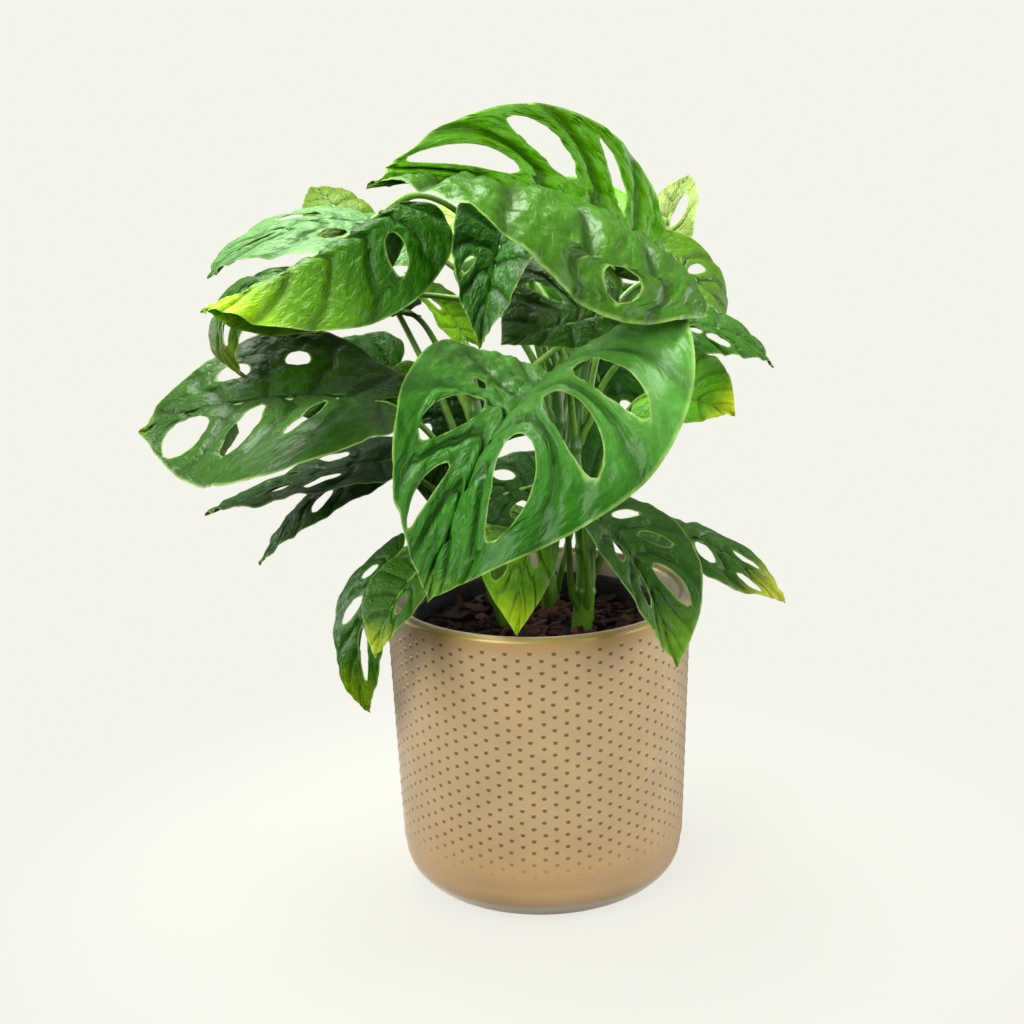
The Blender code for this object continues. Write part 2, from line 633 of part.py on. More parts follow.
def leaf_piece(name, finish):
    """One leaf: the holed blade, given a thickness, and the petiole that grows out of its notch."""
    leaf = leaf_design(name)
    flat, triangles, loops = flat_blade(leaf)
    normals = blade_normals(leaf, flat)
    middle = blade_place(leaf, flat[:, 0], flat[:, 1])
    top = middle + normals * BLADE_THICKNESS / 2
    under = middle - normals * BLADE_THICKNESS / 2
    count = len(flat)
    points = [*top, *under]
    faces = []
    for triangle in triangles:
        faces.append(tuple(triangle))
        faces.append(tuple(k + count for k in reversed(triangle)))
    for number, loop in enumerate(loops):
        for k, here in enumerate(loop):
            after = loop[(k + 1) % len(loop)]
            if number == 0 and 0 in (here, after):
                continue
            faces.append((here, after, after + count, here + count))
    left, right = 1, loops[0][-1]
    notch_ring = [left, 0, right, right + count, count, left + count]
    notch = np.mean([points[k] for k in notch_ring], axis=0)
    side = unit(points[left] - points[right])
    rib = blade_place(leaf, np.array([0.0, 0.04]), np.zeros(2))
    backward = -unit(rib[1] - rib[0])
    path = petiole_path(leaf, notch, backward)
    radii = PETIOLE_RADIUS * np.linspace(1, PETIOLE_SWELL, len(path))
    rings = tube_rings(path, radii, side, 6)
    first = len(points)
    for ring in rings:
        points += list(ring)
    faces += join_rings(points, notch_ring, list(range(first, first + 6)))
    faces += stitch(rings, first)
    faces.append(tuple(range(first + 6 * (len(rings) - 1), first + 6 * len(rings))))
    return add_object(f"leaf_{name}", points, faces, finish, recalculate=True)


def join_rings(points, one, other):
    """Quads from one ring of points to another, turned and mirrored so that the two lie closest."""
    best = None
    for order in (other, other[::-1]):
        for shift in range(len(order)):
            turned_order = order[shift:] + order[:shift]
            span = sum(np.linalg.norm(points[a] - points[b]) for a, b in zip(one, turned_order))
            if best is None or span < best[0]:
                best = (span, turned_order)
    chosen = best[1]
    size = len(one)
    return [(one[k], one[(k + 1) % size], chosen[(k + 1) % size], chosen[k]) for k in range(size)]


# ------------------------------------------------------------------ the whole plant
def main():
    clear_scene()
    glaze = material("lustre_glaze", (0.50, 0.38, 0.21), 0.38, 0.45)
    plastic = material("black_plastic", (0.012, 0.012, 0.013), 0.5)
    mix = material("peat_and_bark", (0.035, 0.020, 0.012), 0.95)
    stem_green = material("stem_green", (0.10, 0.23, 0.03), 0.45)
    leaf_green = material("leaf_green", (0.045, 0.19, 0.02), 0.38)
    cachepot(glaze)
    nursery_pot(plastic)
    potting_mix(mix)
    for key in STEMS:
        stem(key, stem_green)
    for name in LEAVES:
        leaf_piece(name, leaf_green)


main()
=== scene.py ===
# %% [markdown]
# # A potted monstera, dressed for its picture
#
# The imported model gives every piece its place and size: a ceramic pot, a plastic nursery pot with
# potting mix, three stems and thirty-two leaves with holes. This lesson keeps those places and makes each
# piece look real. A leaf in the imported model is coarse, so here it is worked out again from the same few
# numbers on a much finer grid, with veins, bulges between the veins, soft hole edges and a thin margin.

import math

import bpy
import numpy as np
from mathutils import Matrix, Vector


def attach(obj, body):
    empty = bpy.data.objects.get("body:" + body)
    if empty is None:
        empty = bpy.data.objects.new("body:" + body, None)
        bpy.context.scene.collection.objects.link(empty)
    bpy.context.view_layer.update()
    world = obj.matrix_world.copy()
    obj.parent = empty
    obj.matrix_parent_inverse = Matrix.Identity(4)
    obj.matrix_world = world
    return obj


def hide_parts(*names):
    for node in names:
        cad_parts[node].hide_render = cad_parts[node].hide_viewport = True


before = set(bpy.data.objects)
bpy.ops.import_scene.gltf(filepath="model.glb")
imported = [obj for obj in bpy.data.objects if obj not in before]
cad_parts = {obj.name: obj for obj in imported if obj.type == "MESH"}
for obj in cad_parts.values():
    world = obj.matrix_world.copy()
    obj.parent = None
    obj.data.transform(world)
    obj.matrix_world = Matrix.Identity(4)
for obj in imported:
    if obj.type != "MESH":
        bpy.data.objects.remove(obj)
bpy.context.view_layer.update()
MM = 0.001

# %% [markdown]
# ## Camera
#
# The plant is seen from a little above its middle, from about 0.9 m away through a long lens, which
# keeps the pot's sides nearly parallel. The camera is placed by what it looks at: an aim point inside the
# foliage, a distance and a pitch. A turn about its own axis of a degree and a half is a hand-held tilt.

# %% Place the camera
AIM = np.array([-11.1, 0.0, 176.1]) * MM
DISTANCE = 909.5 * MM
PITCH = math.radians(15.6)
TILT = math.radians(1.43)
LENS, SENSOR = 70.3, 36.0
SIGHT = 1000.0

forward = np.array([0.0, math.cos(PITCH), -math.sin(PITCH)])
lens = bpy.data.cameras.new("view")
lens.lens = LENS
lens.sensor_width = SENSOR
lens.clip_end = SIGHT
camera = bpy.data.objects.new("view", lens)
camera.location = AIM - forward * DISTANCE
camera.rotation_mode = "QUATERNION"
right = Vector((1, 0, 0))
up = Vector((0, math.sin(PITCH), math.cos(PITCH)))
right, up = (
    math.cos(TILT) * right - math.sin(TILT) * up,
    math.sin(TILT) * right + math.cos(TILT) * up,
)
back = Vector(-forward)
camera.rotation_quaternion = Matrix((right, up, back)).transposed().to_quaternion()
bpy.context.scene.collection.objects.link(camera)
bpy.context.scene.camera = camera
print("camera at", [round(c, 3) for c in camera.location])

# %% [markdown]
# ## Studio
#
# A pale floor runs so far behind the pot that it fills the picture. It glows by itself and takes the lamps'
# light only near the pot, where the plant's shadow falls. The sky is brighter overhead than at the horizon.
# One big soft box above and a little behind the plant makes the waxy leaves shine along their tops, a second
# one at the front left lights the pot, a third fills from the right, and two low ones edge its sides.

# %% Floor, sky and lamps


def linear(hex_colour):
    """sRGB hex to linear light.

    Each channel c becomes ((c + 0.055) / 1.055) to the power 2.4, or c / 12.92 below 0.04045.
    """
    c = np.array([int(hex_colour[k : k + 2], 16) for k in (1, 3, 5)]) / 255
    return tuple(np.where(c <= 0.04045, c / 12.92, ((c + 0.055) / 1.055) ** 2.4))


def opaque(hex_colour):
    """The same colour with an alpha of 1, as sockets want it."""
    return (*linear(hex_colour), 1)


def add_node(tree, kind, settings=None, links=None):
    """One node of the given kind: settings are its properties and socket values, links its sources."""
    node = tree.nodes.new(kind)
    for key, value in (settings or {}).items():
        if isinstance(key, str) and key in node.bl_rna.properties:
            setattr(node, key, value)
        else:
            node.inputs[key].default_value = value
    for key, source in (links or {}).items():
        tree.links.new(source, node.inputs[key])
    return node


def mapped(tree, source, low, high, to_low, to_high, smooth=False):
    """The source's value carried from low..high to to_low..to_high, along an S curve if smooth."""
    settings = {"interpolation_type": "SMOOTHSTEP" if smooth else "LINEAR",
                "From Min": low, "From Max": high, "To Min": to_low, "To Max": to_high}
    return add_node(tree, "ShaderNodeMapRange", settings, {"Value": source}).outputs["Result"]


def worked(tree, operation, *inputs):
    """The result of a Math node, whose inputs are numbers or other nodes' outputs."""
    numbers = {k: value for k, value in enumerate(inputs) if isinstance(value, float)}
    sources = {k: value for k, value in enumerate(inputs) if not isinstance(value, float)}
    node = add_node(tree, "ShaderNodeMath", {"operation": operation, **numbers}, sources)
    return node.outputs["Value"]


def noise(tree, place, **values):
    """The grey value of a noise texture at place, with its scale and the like by name."""
    return add_node(tree, "ShaderNodeTexNoise", values, {"Vector": place}).outputs["Fac"]


def stretched(tree, place, scale):
    """The place with each coordinate multiplied by its own scale."""
    return add_node(tree, "ShaderNodeMapping", {"Scale": scale}, {"Vector": place}).outputs["Vector"]


def toned_by(tree, colour, factor):
    """A colour times a grey value."""
    node = add_node(tree, "ShaderNodeVectorMath", {"operation": "SCALE"}, {0: colour, "Scale": factor})
    return node.outputs["Vector"]


def embossed(tree, height, strength, depth, **under):
    """The normal of a surface raised by height times depth in metres; under is the normal below, if any."""
    settings = {"Strength": strength, "Distance": depth}
    return add_node(tree, "ShaderNodeBump", settings, {"Height": height, **under}).outputs["Normal"]


def tint_and_place(tree):
    """The piece's own colour attribute, and the place in the piece's own coordinates."""
    tint = add_node(tree, "ShaderNodeAttribute", {"attribute_name": "tint"})
    return tint.outputs["Color"], add_node(tree, "ShaderNodeTexCoord").outputs["Object"]


def drive(tree, shader, colour, roughness, normal):
    """Links the three sources that every material here has to its shader."""
    for key, source in (("Base Color", colour), ("Roughness", roughness), ("Normal", normal)):
        if source is not None:
            tree.links.new(source, shader.inputs[key])


def new_material(name, **sockets):
    """A material whose only shader is a Principled one, with constants set on the shader's own sockets."""
    made = bpy.data.materials.new(name)
    made.use_nodes = True
    shader = made.node_tree.nodes["Principled BSDF"]
    for key, value in sockets.items():
        shader.inputs[key.replace("_", " ")].default_value = value
    return made, made.node_tree, shader


GLOW, SHADED_GLOW = 1.0, 0.84
NEAR, FAR, REACH = 0.09, 0.30, 400.0
paper, tree, shader = new_material(
    "studio_paper", Roughness=0.9, Specular_IOR_Level=0.0, Emission_Color=opaque("#F5F4EB")
)
place = add_node(tree, "ShaderNodeTexCoord").outputs["Object"]
away = add_node(tree, "ShaderNodeVectorMath", {"operation": "LENGTH"}, {0: place}).outputs["Value"]
lit = mapped(tree, away, NEAR, FAR, 1.0, 0.0, smooth=True)
lit_colour = add_node(tree, "ShaderNodeMix", {"data_type": "RGBA"}, {"Factor": lit})
lit_colour.inputs["A"].default_value = (0, 0, 0, 1)
lit_colour.inputs["B"].default_value = opaque("#55554F")
tree.links.new(lit_colour.outputs["Result"], shader.inputs["Base Color"])
glow = worked(tree, "MULTIPLY_ADD", lit, SHADED_GLOW - GLOW, GLOW)
tree.links.new(glow, shader.inputs["Emission Strength"])
corners = [(x * REACH, y * REACH, 0) for x, y in ((-1, -1), (1, -1), (1, 1), (-1, 1))]
floor_mesh = bpy.data.meshes.new("floor")
floor_mesh.from_pydata(corners, [], [(0, 1, 2, 3)])
floor_mesh.materials.append(paper)
floor = bpy.data.objects.new("floor", floor_mesh)
bpy.context.scene.collection.objects.link(floor)
floor.visible_diffuse = False
floor.visible_glossy = False

sky = bpy.data.worlds.new("soft_sky")
sky.use_nodes = True
tree = sky.node_tree
direction = add_node(tree, "ShaderNodeTexCoord").outputs["Generated"]
height = add_node(tree, "ShaderNodeSeparateXYZ", {}, {"Vector": direction}).outputs["Z"]
background = tree.nodes["Background"]
background.inputs["Color"].default_value = opaque("#FFFDF6")
tree.links.new(mapped(tree, height, -0.2, 0.7, 0.07, 0.5), background.inputs["Strength"])
bpy.context.scene.world = sky
bpy.context.scene.view_settings.view_transform = "Standard"


def soft_box(name, place, target, size, watts):
    """A square lamp of the given size at place, turned to face target."""
    light = bpy.data.lights.new(name, "AREA")
    light.shape = "SQUARE"
    light.size = size
    light.energy = watts
    lamp = bpy.data.objects.new(name, light)
    lamp.location = place
    lamp.rotation_euler = (Vector(target) - Vector(place)).to_track_quat("-Z", "Y").to_euler()
    bpy.context.scene.collection.objects.link(lamp)
    return lamp


soft_box("top_box", (-0.25, 0.25, 1.2), (0, 0, 0.2), 0.7, 27)
soft_box("front_box", (-0.75, -1.1, 0.9), (0, 0, 0.15), 0.8, 23)
soft_box("left_strip", (-0.95, 0.4, 0.2), (0, 0, 0.08), 0.5, 5)
soft_box("right_strip", (0.95, 0.4, 0.2), (0, 0, 0.08), 0.5, 5)
soft_box("side_box", (1.1, -0.6, 0.6), (0, 0, 0.15), 0.8, 12)
print("studio: floor, sky and 5 soft boxes")

# %% [markdown]
# ## Surfaces as grids
#
# Every new piece here is a sheet whose points are a function of two parameters. numpy works out all the
# points at once, and one function below turns the grid into triangles. A row whose points all fall
# together, such as the middle of a pot's floor, becomes a single point, so no seam or pole stays open.

# %% Grid helpers


def unit(v):
    """Vectors divided by their length."""
    return v / np.maximum(np.linalg.norm(v, axis=-1, keepdims=True), 1e-12)


def smooth_step(low, high, x):
    """0 below low, 1 above high, and the curve 3t^2 - 2t^3 between."""
    t = np.clip((np.asarray(x, float) - low) / (high - low), 0, 1)
    return t * t * (3 - 2 * t)


def two_triangles(a, b, c, d):
    """Each cell's corners a, b, c, d as the triangles a, b, c and a, c, d."""
    return np.concatenate([np.stack([a, b, c], -1).reshape(-1, 3), np.stack([a, c, d], -1).reshape(-1, 3)])


def cells(number, wrap=False):
    """Two triangles for each cell of a grid of point numbers. With wrap the last column meets the first."""
    after = np.roll(number, -1, axis=1) if wrap else number[:, 1:]
    here = number if wrap else number[:, :-1]
    return two_triangles(here[:-1], after[:-1], after[1:], here[1:])


def grid_sheet(points, wrap=False):
    """Points and triangles of a grid (rows, columns, 3). Rows that are a single place become one point."""
    rows, columns = points.shape[:2]
    number = np.arange(rows * columns).reshape(rows, columns)
    pole = np.ptp(points, axis=1).max(-1) < 1e-9
    number[pole] = number[pole, :1]
    return points.reshape(-1, 3), cells(number, wrap)


def tidy(points, triangles, *values):
    """Drops triangles with a repeated point and then points that nothing uses. values follow their points."""
    flat = (triangles[:, 0] == triangles[:, 1]) | (triangles[:, 1] == triangles[:, 2])
    flat |= triangles[:, 2] == triangles[:, 0]
    used, again = np.unique(triangles[~flat], return_inverse=True)
    return (points[used], again.reshape(-1, 3)) + tuple(v[used] for v in values)


def join(*sheets):
    """Several (points, triangles) put into one."""
    offset = np.cumsum([0] + [len(p) for p, _ in sheets])
    return np.vstack([p for p, _ in sheets]), np.vstack([t + o for (_, t), o in zip(sheets, offset)])


def copies(points, triangles, count):
    """The triangles for count copies of one shape, whose points come as (count, points each, 3)."""
    each = points.shape[1]
    shifted = triangles[None] + (np.arange(count) * each)[:, None, None]
    return points.reshape(-1, 3), shifted.reshape(-1, 3)


def add_piece(name, points, triangles, finish, slot, nodes, colour=None, uv=None, crease=50):
    """A mesh object at the origin that rides on the body and stands in for the CAD nodes, which it hides.

    slot is not used; colour is one (r, g, b) a point for the attribute "tint"; uv is one (x, y) a point for
    the UV map.
    """
    mesh = bpy.data.meshes.new(name)
    mesh.from_pydata(points, [], triangles)
    mesh.shade_smooth()
    mesh.set_sharp_from_angle(angle=math.radians(crease))
    if colour is not None:
        tint = mesh.attributes.new("tint", "FLOAT_COLOR", "POINT")
        rgba = np.column_stack([colour, np.ones(len(colour))]).astype(np.float32)
        tint.data.foreach_set("color", rgba.ravel())
    if uv is not None:
        layer = mesh.uv_layers.new(name="UVMap")
        corner = np.zeros(len(mesh.loops), np.int32)
        mesh.loops.foreach_get("vertex_index", corner)
        layer.data.foreach_set("uv", np.asarray(uv, np.float32)[corner].ravel())
    mesh.materials.append(finish)
    piece = bpy.data.objects.new(name, mesh)
    bpy.context.scene.collection.objects.link(piece)
    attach(piece, "root")
    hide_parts(*nodes)
    print(f"{name}: {len(triangles)} triangles")
    return piece


def turned_sheet(profile, sides):
    """A profile of (r, z) carried round Z: each point becomes (r cos t, r sin t, z)."""
    profile = np.asarray(profile, float)
    t = math.tau * np.arange(sides) / sides
    r, z = profile[:, :1], profile[:, 1:]
    points = np.stack([r * np.cos(t), r * np.sin(t), np.broadcast_to(z, (len(profile), sides))], -1)
    return grid_sheet(points, wrap=True)


def arc(centre, radius, start, end, steps):
    """Points (r, z) on a circle round centre, from start to end in degrees."""
    a = np.radians(np.linspace(start, end, steps + 1))
    return np.stack([centre[0] + radius * np.cos(a), centre[1] + radius * np.sin(a)], -1)

# %% [markdown]
# ## The ceramic pot
#
# The pot is slip-cast earthenware: a wall that leans out a little, a generous round at the foot and a thin
# rounded lip. Raised dots cover it in rows that are offset by half a space, so they line up on diagonals.
# The wall is one profile turned round the axis. Each dot is a small cosine bump, so its skirt runs into
# the wall without an edge, the way glaze flows round a moulded dot. Dots near the foot get lower and vanish.

# %% Pot body and its dots
RIM_R, FOOT_R, POT_H, CORNER, WALL, FLOOR_H = (v * MM for v in (70, 65, 139, 19, 5.5, 8))
DOTS_AROUND, DOT_ROWS, DOT_R, DOT_H = 42, 38, 1.5 * MM, 0.22 * MM
FIRST_ROW, ROW_STEP = 6.5 * MM, 2.95 * MM
STRAY_AROUND, STRAY_UP = 0.22, 0.14
DOT_SIDES, DOT_RINGS = 10, (0.0, 0.3, 0.6, 1.0)


def outer_radius(z):
    """The wall's radius grows evenly from the foot to the rim."""
    return FOOT_R + (RIM_R - FOOT_R) * z / POT_H


def pot_profile():
    """From the middle of the foot, up the outside, over the lip, down the inside to the floor's middle."""
    lip = WALL / 2
    inside = CORNER - WALL
    rise = np.linspace(CORNER + 3 * MM, POT_H - lip - 2 * MM, 24)
    drop = np.linspace(POT_H - lip - 2 * MM, FLOOR_H + inside + 2 * MM, 12)
    return np.vstack([
        [(0, 1.2 * MM), (30 * MM, 1.2 * MM), (41 * MM, 1.0 * MM)],
        arc((42.5 * MM, 1.0 * MM), 1.0 * MM, -150, -90, 3),
        arc((outer_radius(0) - CORNER, CORNER), CORNER, -90, 0, 16),
        np.column_stack([outer_radius(rise), rise]),
        arc((outer_radius(POT_H) - lip, POT_H - lip), lip, 0, 180, 14),
        np.column_stack([outer_radius(drop) - WALL, drop]),
        arc((outer_radius(FLOOR_H) - WALL - inside, FLOOR_H + inside), inside, 0, -90, 8),
        [(0, FLOOR_H)],
    ])


def dot_field():
    """Cosine bumps on the wall, in rows offset by half a space, each lower towards the foot, and a painted
    shade mask over each one's lower half.
    """
    row, column = np.meshgrid(np.arange(DOT_ROWS), np.arange(DOTS_AROUND), indexing="ij")
    turn = (column + 0.5 * (row % 2)) * math.tau / DOTS_AROUND
    z = POT_H - FIRST_ROW - row * ROW_STEP
    own = np.random.default_rng(5)
    turn = turn.ravel() + own.normal(0, STRAY_AROUND, turn.size) * MM / RIM_R
    z = z.ravel() + own.normal(0, STRAY_UP, z.size) * MM
    height = DOT_H * smooth_step(20 * MM, 42 * MM, z)
    keep = height > 0.04 * MM
    turn, z, height = turn[keep], z[keep], height[keep]
    ring = np.array(DOT_RINGS)
    around = math.tau * np.arange(DOT_SIDES) / DOT_SIDES
    lift = (1 + np.cos(math.pi * ring)) / 2
    across = DOT_R * ring[:, None] * np.cos(around)
    along = DOT_R * ring[:, None] * np.sin(around)
    proud = height[:, None, None] * lift[:, None] - 0.06 * MM * ring[:, None]
    r = outer_radius(z)[:, None, None] + proud
    angle = turn[:, None, None] + across / outer_radius(z)[:, None, None]
    level = np.broadcast_to(z[:, None, None] + along, angle.shape)
    points = np.stack([r * np.cos(angle), r * np.sin(angle), level], -1)
    each = len(ring) * DOT_SIDES
    one = np.arange(each).reshape(len(ring), DOT_SIDES)
    one[0] = 0
    # painted shade: a dark spot over the lower half of each dot, where a raised dot's underside is in shade
    off = np.hypot(0.8 * across, along + 0.35 * DOT_R) / DOT_R
    below = 1 - smooth_step(0.3, 0.95, off)
    under = np.broadcast_to(below, angle.shape)
    count = len(turn)
    sheet = copies(points.reshape(count, each, 3), cells(one, wrap=True)[:, ::-1], count)
    return tidy(*sheet, under.reshape(-1) * np.repeat(height / DOT_H, each))


body = tidy(*turned_sheet(pot_profile(), 192))
dot_points, dot_triangles, dot_painted_shade = dot_field()
print("pot wall", len(body[1]), "triangles,", "dots", len(dot_triangles))

# %% [markdown]
# ## Lustre glaze
#
# The finish is a satin lustre: a warm beige glaze with a very thin metal film, fired at low heat. The film
# gives broad, half-metallic highlights and turns paler where the wall curves away. It pools in a brown-gold
# band under the lip, and the lip itself is almost pure gold. The lower half of every dot is painted dark as
# painted shade, and so is the bottom edge of the foot. A colour attribute holds those places, and a fine
# noise breaks up the film, as brushing on does.

# %% Glaze the pot


def glaze_colours(points, under):
    """Beige, warmer towards the foot, with the band, lip and pale inside mixed in, and painted shade on
    the lower half of each dot and along the foot's bottom edge.
    """
    z = points[:, 2]
    r = np.hypot(points[:, 0], points[:, 1])
    inside = (r < outer_radius(z) - 2.8 * MM) & (z > 2 * MM)

    def blend(colour, other, amount):
        return colour + (np.array(linear(other)) - colour) * amount[:, None]

    colour = np.broadcast_to(linear("#CFB283"), points.shape).copy()
    colour = blend(colour, "#CFA974", 1 - smooth_step(8 * MM, 60 * MM, z))
    colour = blend(colour, "#CDA468", 0.8 * smooth_step(POT_H - 8.5 * MM, POT_H - 4 * MM, z))
    colour = blend(colour, "#A08A45", smooth_step(POT_H - 3.0 * MM, POT_H - 1.8 * MM, z))
    # painted shade: dark brown over the lower half of each dot
    colour = blend(colour, "#5A4420", 0.85 * under)
    # painted shade: the bottom edge of the foot is darkened where the pot meets the floor
    colour = blend(colour, "#2E2010", 1 - smooth_step(0.8 * MM, 4.5 * MM, z))
    return blend(colour, "#DCCFAE", inside * (1 - smooth_step(POT_H - 2.5 * MM, POT_H - 1.2 * MM, z)))


glaze, tree, shader = new_material(
    "lustre_glazed_earthenware", Metallic=0.22, Roughness=0.36, IOR=1.5, Coat_Weight=0.15, Coat_Roughness=0.3,
    Sheen_Weight=0.8, Sheen_Roughness=0.45, Sheen_Tint=opaque("#FFF6E6")
)
tint, place = tint_and_place(tree)
film = noise(tree, place, Scale=60.0, Detail=3.0)
speck = noise(tree, place, Scale=1400.0, Detail=1.0)
cloud = mapped(tree, film, 0.35, 0.7, 0.97, 1.03)
satin = mapped(tree, film, 0.3, 0.7, 0.32, 0.42)
drive(tree, shader, toned_by(tree, tint, cloud), satin, embossed(tree, speck, 0.25, 0.05 * MM))

pot_points, pot_triangles = join(body, (dot_points, dot_triangles))
pot_painted_shade = np.concatenate([np.zeros(len(body[0])), dot_painted_shade])
add_piece(
    "lustre_pot", pot_points, pot_triangles, glaze, "lustre_glaze", ["cachepot"],
    colour=glaze_colours(pot_points, pot_painted_shade), crease=70,
)

# %% [markdown]
# ## Nursery pot
#
# The plant still stands in its black growing pot, vacuum formed from thin polypropylene. Only its rolled rim
# shows, a centimetre below the lip. It is turned like the ceramic pot, and its rim is a small round.

# %% Black plastic pot
LINER_RIM_Z = POT_H - 10 * MM
LINER_RIM_R = outer_radius(LINER_RIM_Z) - WALL - 3.2 * MM
LINER_FOOT_Z = FLOOR_H + 0.3 * MM
LINER_FOOT_R = outer_radius(FLOOR_H) - WALL - (CORNER - WALL) - 3 * MM
LINER_WALL = 1.4 * MM


def liner_radius(z):
    """Inner radius of the growing pot's leaning wall at height z."""
    share = (z - LINER_FOOT_Z) / (LINER_RIM_Z - LINER_FOOT_Z)
    return LINER_FOOT_R + (LINER_RIM_R - 2.6 * MM - LINER_FOOT_R) * share - LINER_WALL


lip_z = LINER_RIM_Z - 1.3 * MM
liner_profile = np.vstack([
    [(0, LINER_FOOT_Z), (LINER_FOOT_R - 1.5 * MM, LINER_FOOT_Z), (LINER_FOOT_R, LINER_FOOT_Z + 1.5 * MM)],
    [(liner_radius(lip_z) + LINER_WALL, lip_z - 1.3 * MM), (LINER_RIM_R - 0.8 * MM, lip_z - 1.3 * MM)],
    arc((LINER_RIM_R - 1.3 * MM, lip_z), 1.3 * MM, -60, 90, 8),
    arc((liner_radius(lip_z) + 1.3 * MM, lip_z), 1.3 * MM, 90, 180, 5),
    [(liner_radius(LINER_FOOT_Z + 2 * MM), LINER_FOOT_Z + LINER_WALL), (0, LINER_FOOT_Z + LINER_WALL)],
])
plastic, tree, shader = new_material(
    "formed_polypropylene", Roughness=0.42, IOR=1.49, Base_Color=opaque("#17181A")
)
place = add_node(tree, "ShaderNodeTexCoord").outputs["Object"]
grain = noise(tree, place, Scale=900.0)
dust = mapped(tree, grain, 0.35, 0.75, 0.35, 0.6)
drive(tree, shader, None, dust, embossed(tree, grain, 0.3, 0.1 * MM))
liner = tidy(*turned_sheet(liner_profile, 128))
add_piece("growing_pot", *liner, plastic, "black_plastic", ["nursery_pot"])

# %% [markdown]
# ## Potting mix
#
# Monstera mix is dark peat with bark. The peat is a disc whose height follows a few sums of waves, so it is
# lumpy but never repeats. On it lie bark chips, flat broken slabs of reddish brown, and small crumbs.
# A chip is a squashed superellipsoid on a tiny grid: hundreds of them stay cheap, and each has its own size,
# turn and colour from a seeded generator.

# %% Peat, bark chips and crumbs
MIX_TOP = LINER_RIM_Z - 9 * MM
MIX_DEPTH = 25 * MM
CHIP_TILTS, CHIP_SIDES = (-90.0, -35, 35, 90), 7
CHIP_POINTS = len(CHIP_TILTS) * CHIP_SIDES


def lumps(x, y, seed, size, octaves=4):
    """Soft noise: a sum of plane waves in random directions, each octave finer and weaker."""
    own = np.random.default_rng(seed)
    total = np.zeros(np.broadcast(x, y).shape)
    for k in range(octaves):
        turn, phase = own.uniform(0, math.tau, (2, 5))
        for a, p in zip(turn, phase):
            wave = math.tau * 1.9**k / size
            total += np.sin(wave * (x * np.cos(a) + y * np.sin(a)) + p) / 1.7**k
    return total / 5


def peat_height(x, y):
    """The mix's top at (x, y): its level plus lumps 17 mm long and 1.3 mm high."""
    return MIX_TOP + 1.3 * MM * lumps(x, y, 3, 17 * MM)


share, turn = np.meshgrid(np.linspace(0, 1, 60), math.tau * np.arange(160) / 160, indexing="ij")
peat_r = (liner_radius(MIX_TOP) + 0.2 * MM) * share
peat_x, peat_y = peat_r * np.cos(turn), peat_r * np.sin(turn)
peat_top = np.stack([peat_x, peat_y, peat_height(peat_x, peat_y)], -1)
peat_top[0] = peat_top[0].mean(0)
skirt = peat_top[-1].copy()
skirt[:, 2] = MIX_TOP - MIX_DEPTH
bottom = np.broadcast_to((0, 0, MIX_TOP - MIX_DEPTH), skirt.shape)
peat = tidy(*grid_sheet(np.concatenate([peat_top, skirt[None], bottom[None]]), wrap=True))


def turned(p, q, angle):
    """Two coordinates of each chip turned by its angle: (p cos - q sin, p sin + q cos)."""
    c, s = np.cos(angle)[:, None], np.sin(angle)[:, None]
    return p * c - q * s, p * s + q * c


def chip_field(count, long, wide, thick, seed, sink):
    """Broken slabs: a superellipsoid x = c(t)c(p), y = s(t)c(p), z = s(p) with jittered points.

    Each is scaled, tipped by up to a third of a right angle, turned about Z and set on the peat.
    """
    own = np.random.default_rng(seed)
    tilt = np.radians(np.array(CHIP_TILTS))
    around = math.tau * np.arange(CHIP_SIDES) / CHIP_SIDES
    flat = np.abs(np.cos(tilt)) ** 0.4
    high = np.sign(np.sin(tilt)) * np.abs(np.sin(tilt)) ** 0.6
    shape = np.stack([flat[:, None] * np.cos(around), flat[:, None] * np.sin(around),
                      np.broadcast_to(high[:, None], (len(tilt), CHIP_SIDES))], -1)
    points = shape * own.uniform(0.75, 1.2, (count, len(tilt), CHIP_SIDES, 1))
    points[:, [0, -1]] = points[:, [0, -1]].mean(2, keepdims=True)
    size = np.stack([own.uniform(*long, count), own.uniform(*wide, count), own.uniform(*thick, count)], -1)
    points = points.reshape(count, CHIP_POINTS, 3) * size[:, None] * MM / 2
    spin, tip, heel = own.uniform(0, math.tau, count), own.normal(0, 0.35, count), own.normal(0, 0.35, count)
    y, z = turned(points[..., 1], points[..., 2], tip)
    z, x = turned(z, points[..., 0], heel)
    x, y = turned(x, y, spin)
    reach = (liner_radius(MIX_TOP) - size[:, 0] * MM * 0.55) * np.sqrt(own.uniform(0, 1, count))
    bearing = own.uniform(0, math.tau, count)
    cx, cy = reach * np.cos(bearing), reach * np.sin(bearing)
    cz = peat_height(cx, cy) + size[:, 2] * MM * sink + own.uniform(0, 2.2, count) * MM * (sink > 0.1)
    placed = np.stack([x + cx[:, None], y + cy[:, None], z + cz[:, None]], -1)
    one = np.arange(CHIP_POINTS).reshape(len(tilt), CHIP_SIDES)
    one[0], one[-1] = 0, CHIP_POINTS - CHIP_SIDES
    return placed, cells(one, wrap=True), own


def tinted(count, each, own, shades):
    """A colour a piece, picked between the given shades, repeated for each of its points."""
    table = np.array([linear(s) for s in shades])
    mix = own.uniform(0, len(table) - 1.001, count)
    low = mix.astype(int)
    part = (mix - low)[:, None]
    return np.repeat(table[low] * (1 - part) + table[low + 1] * part, each, axis=0)


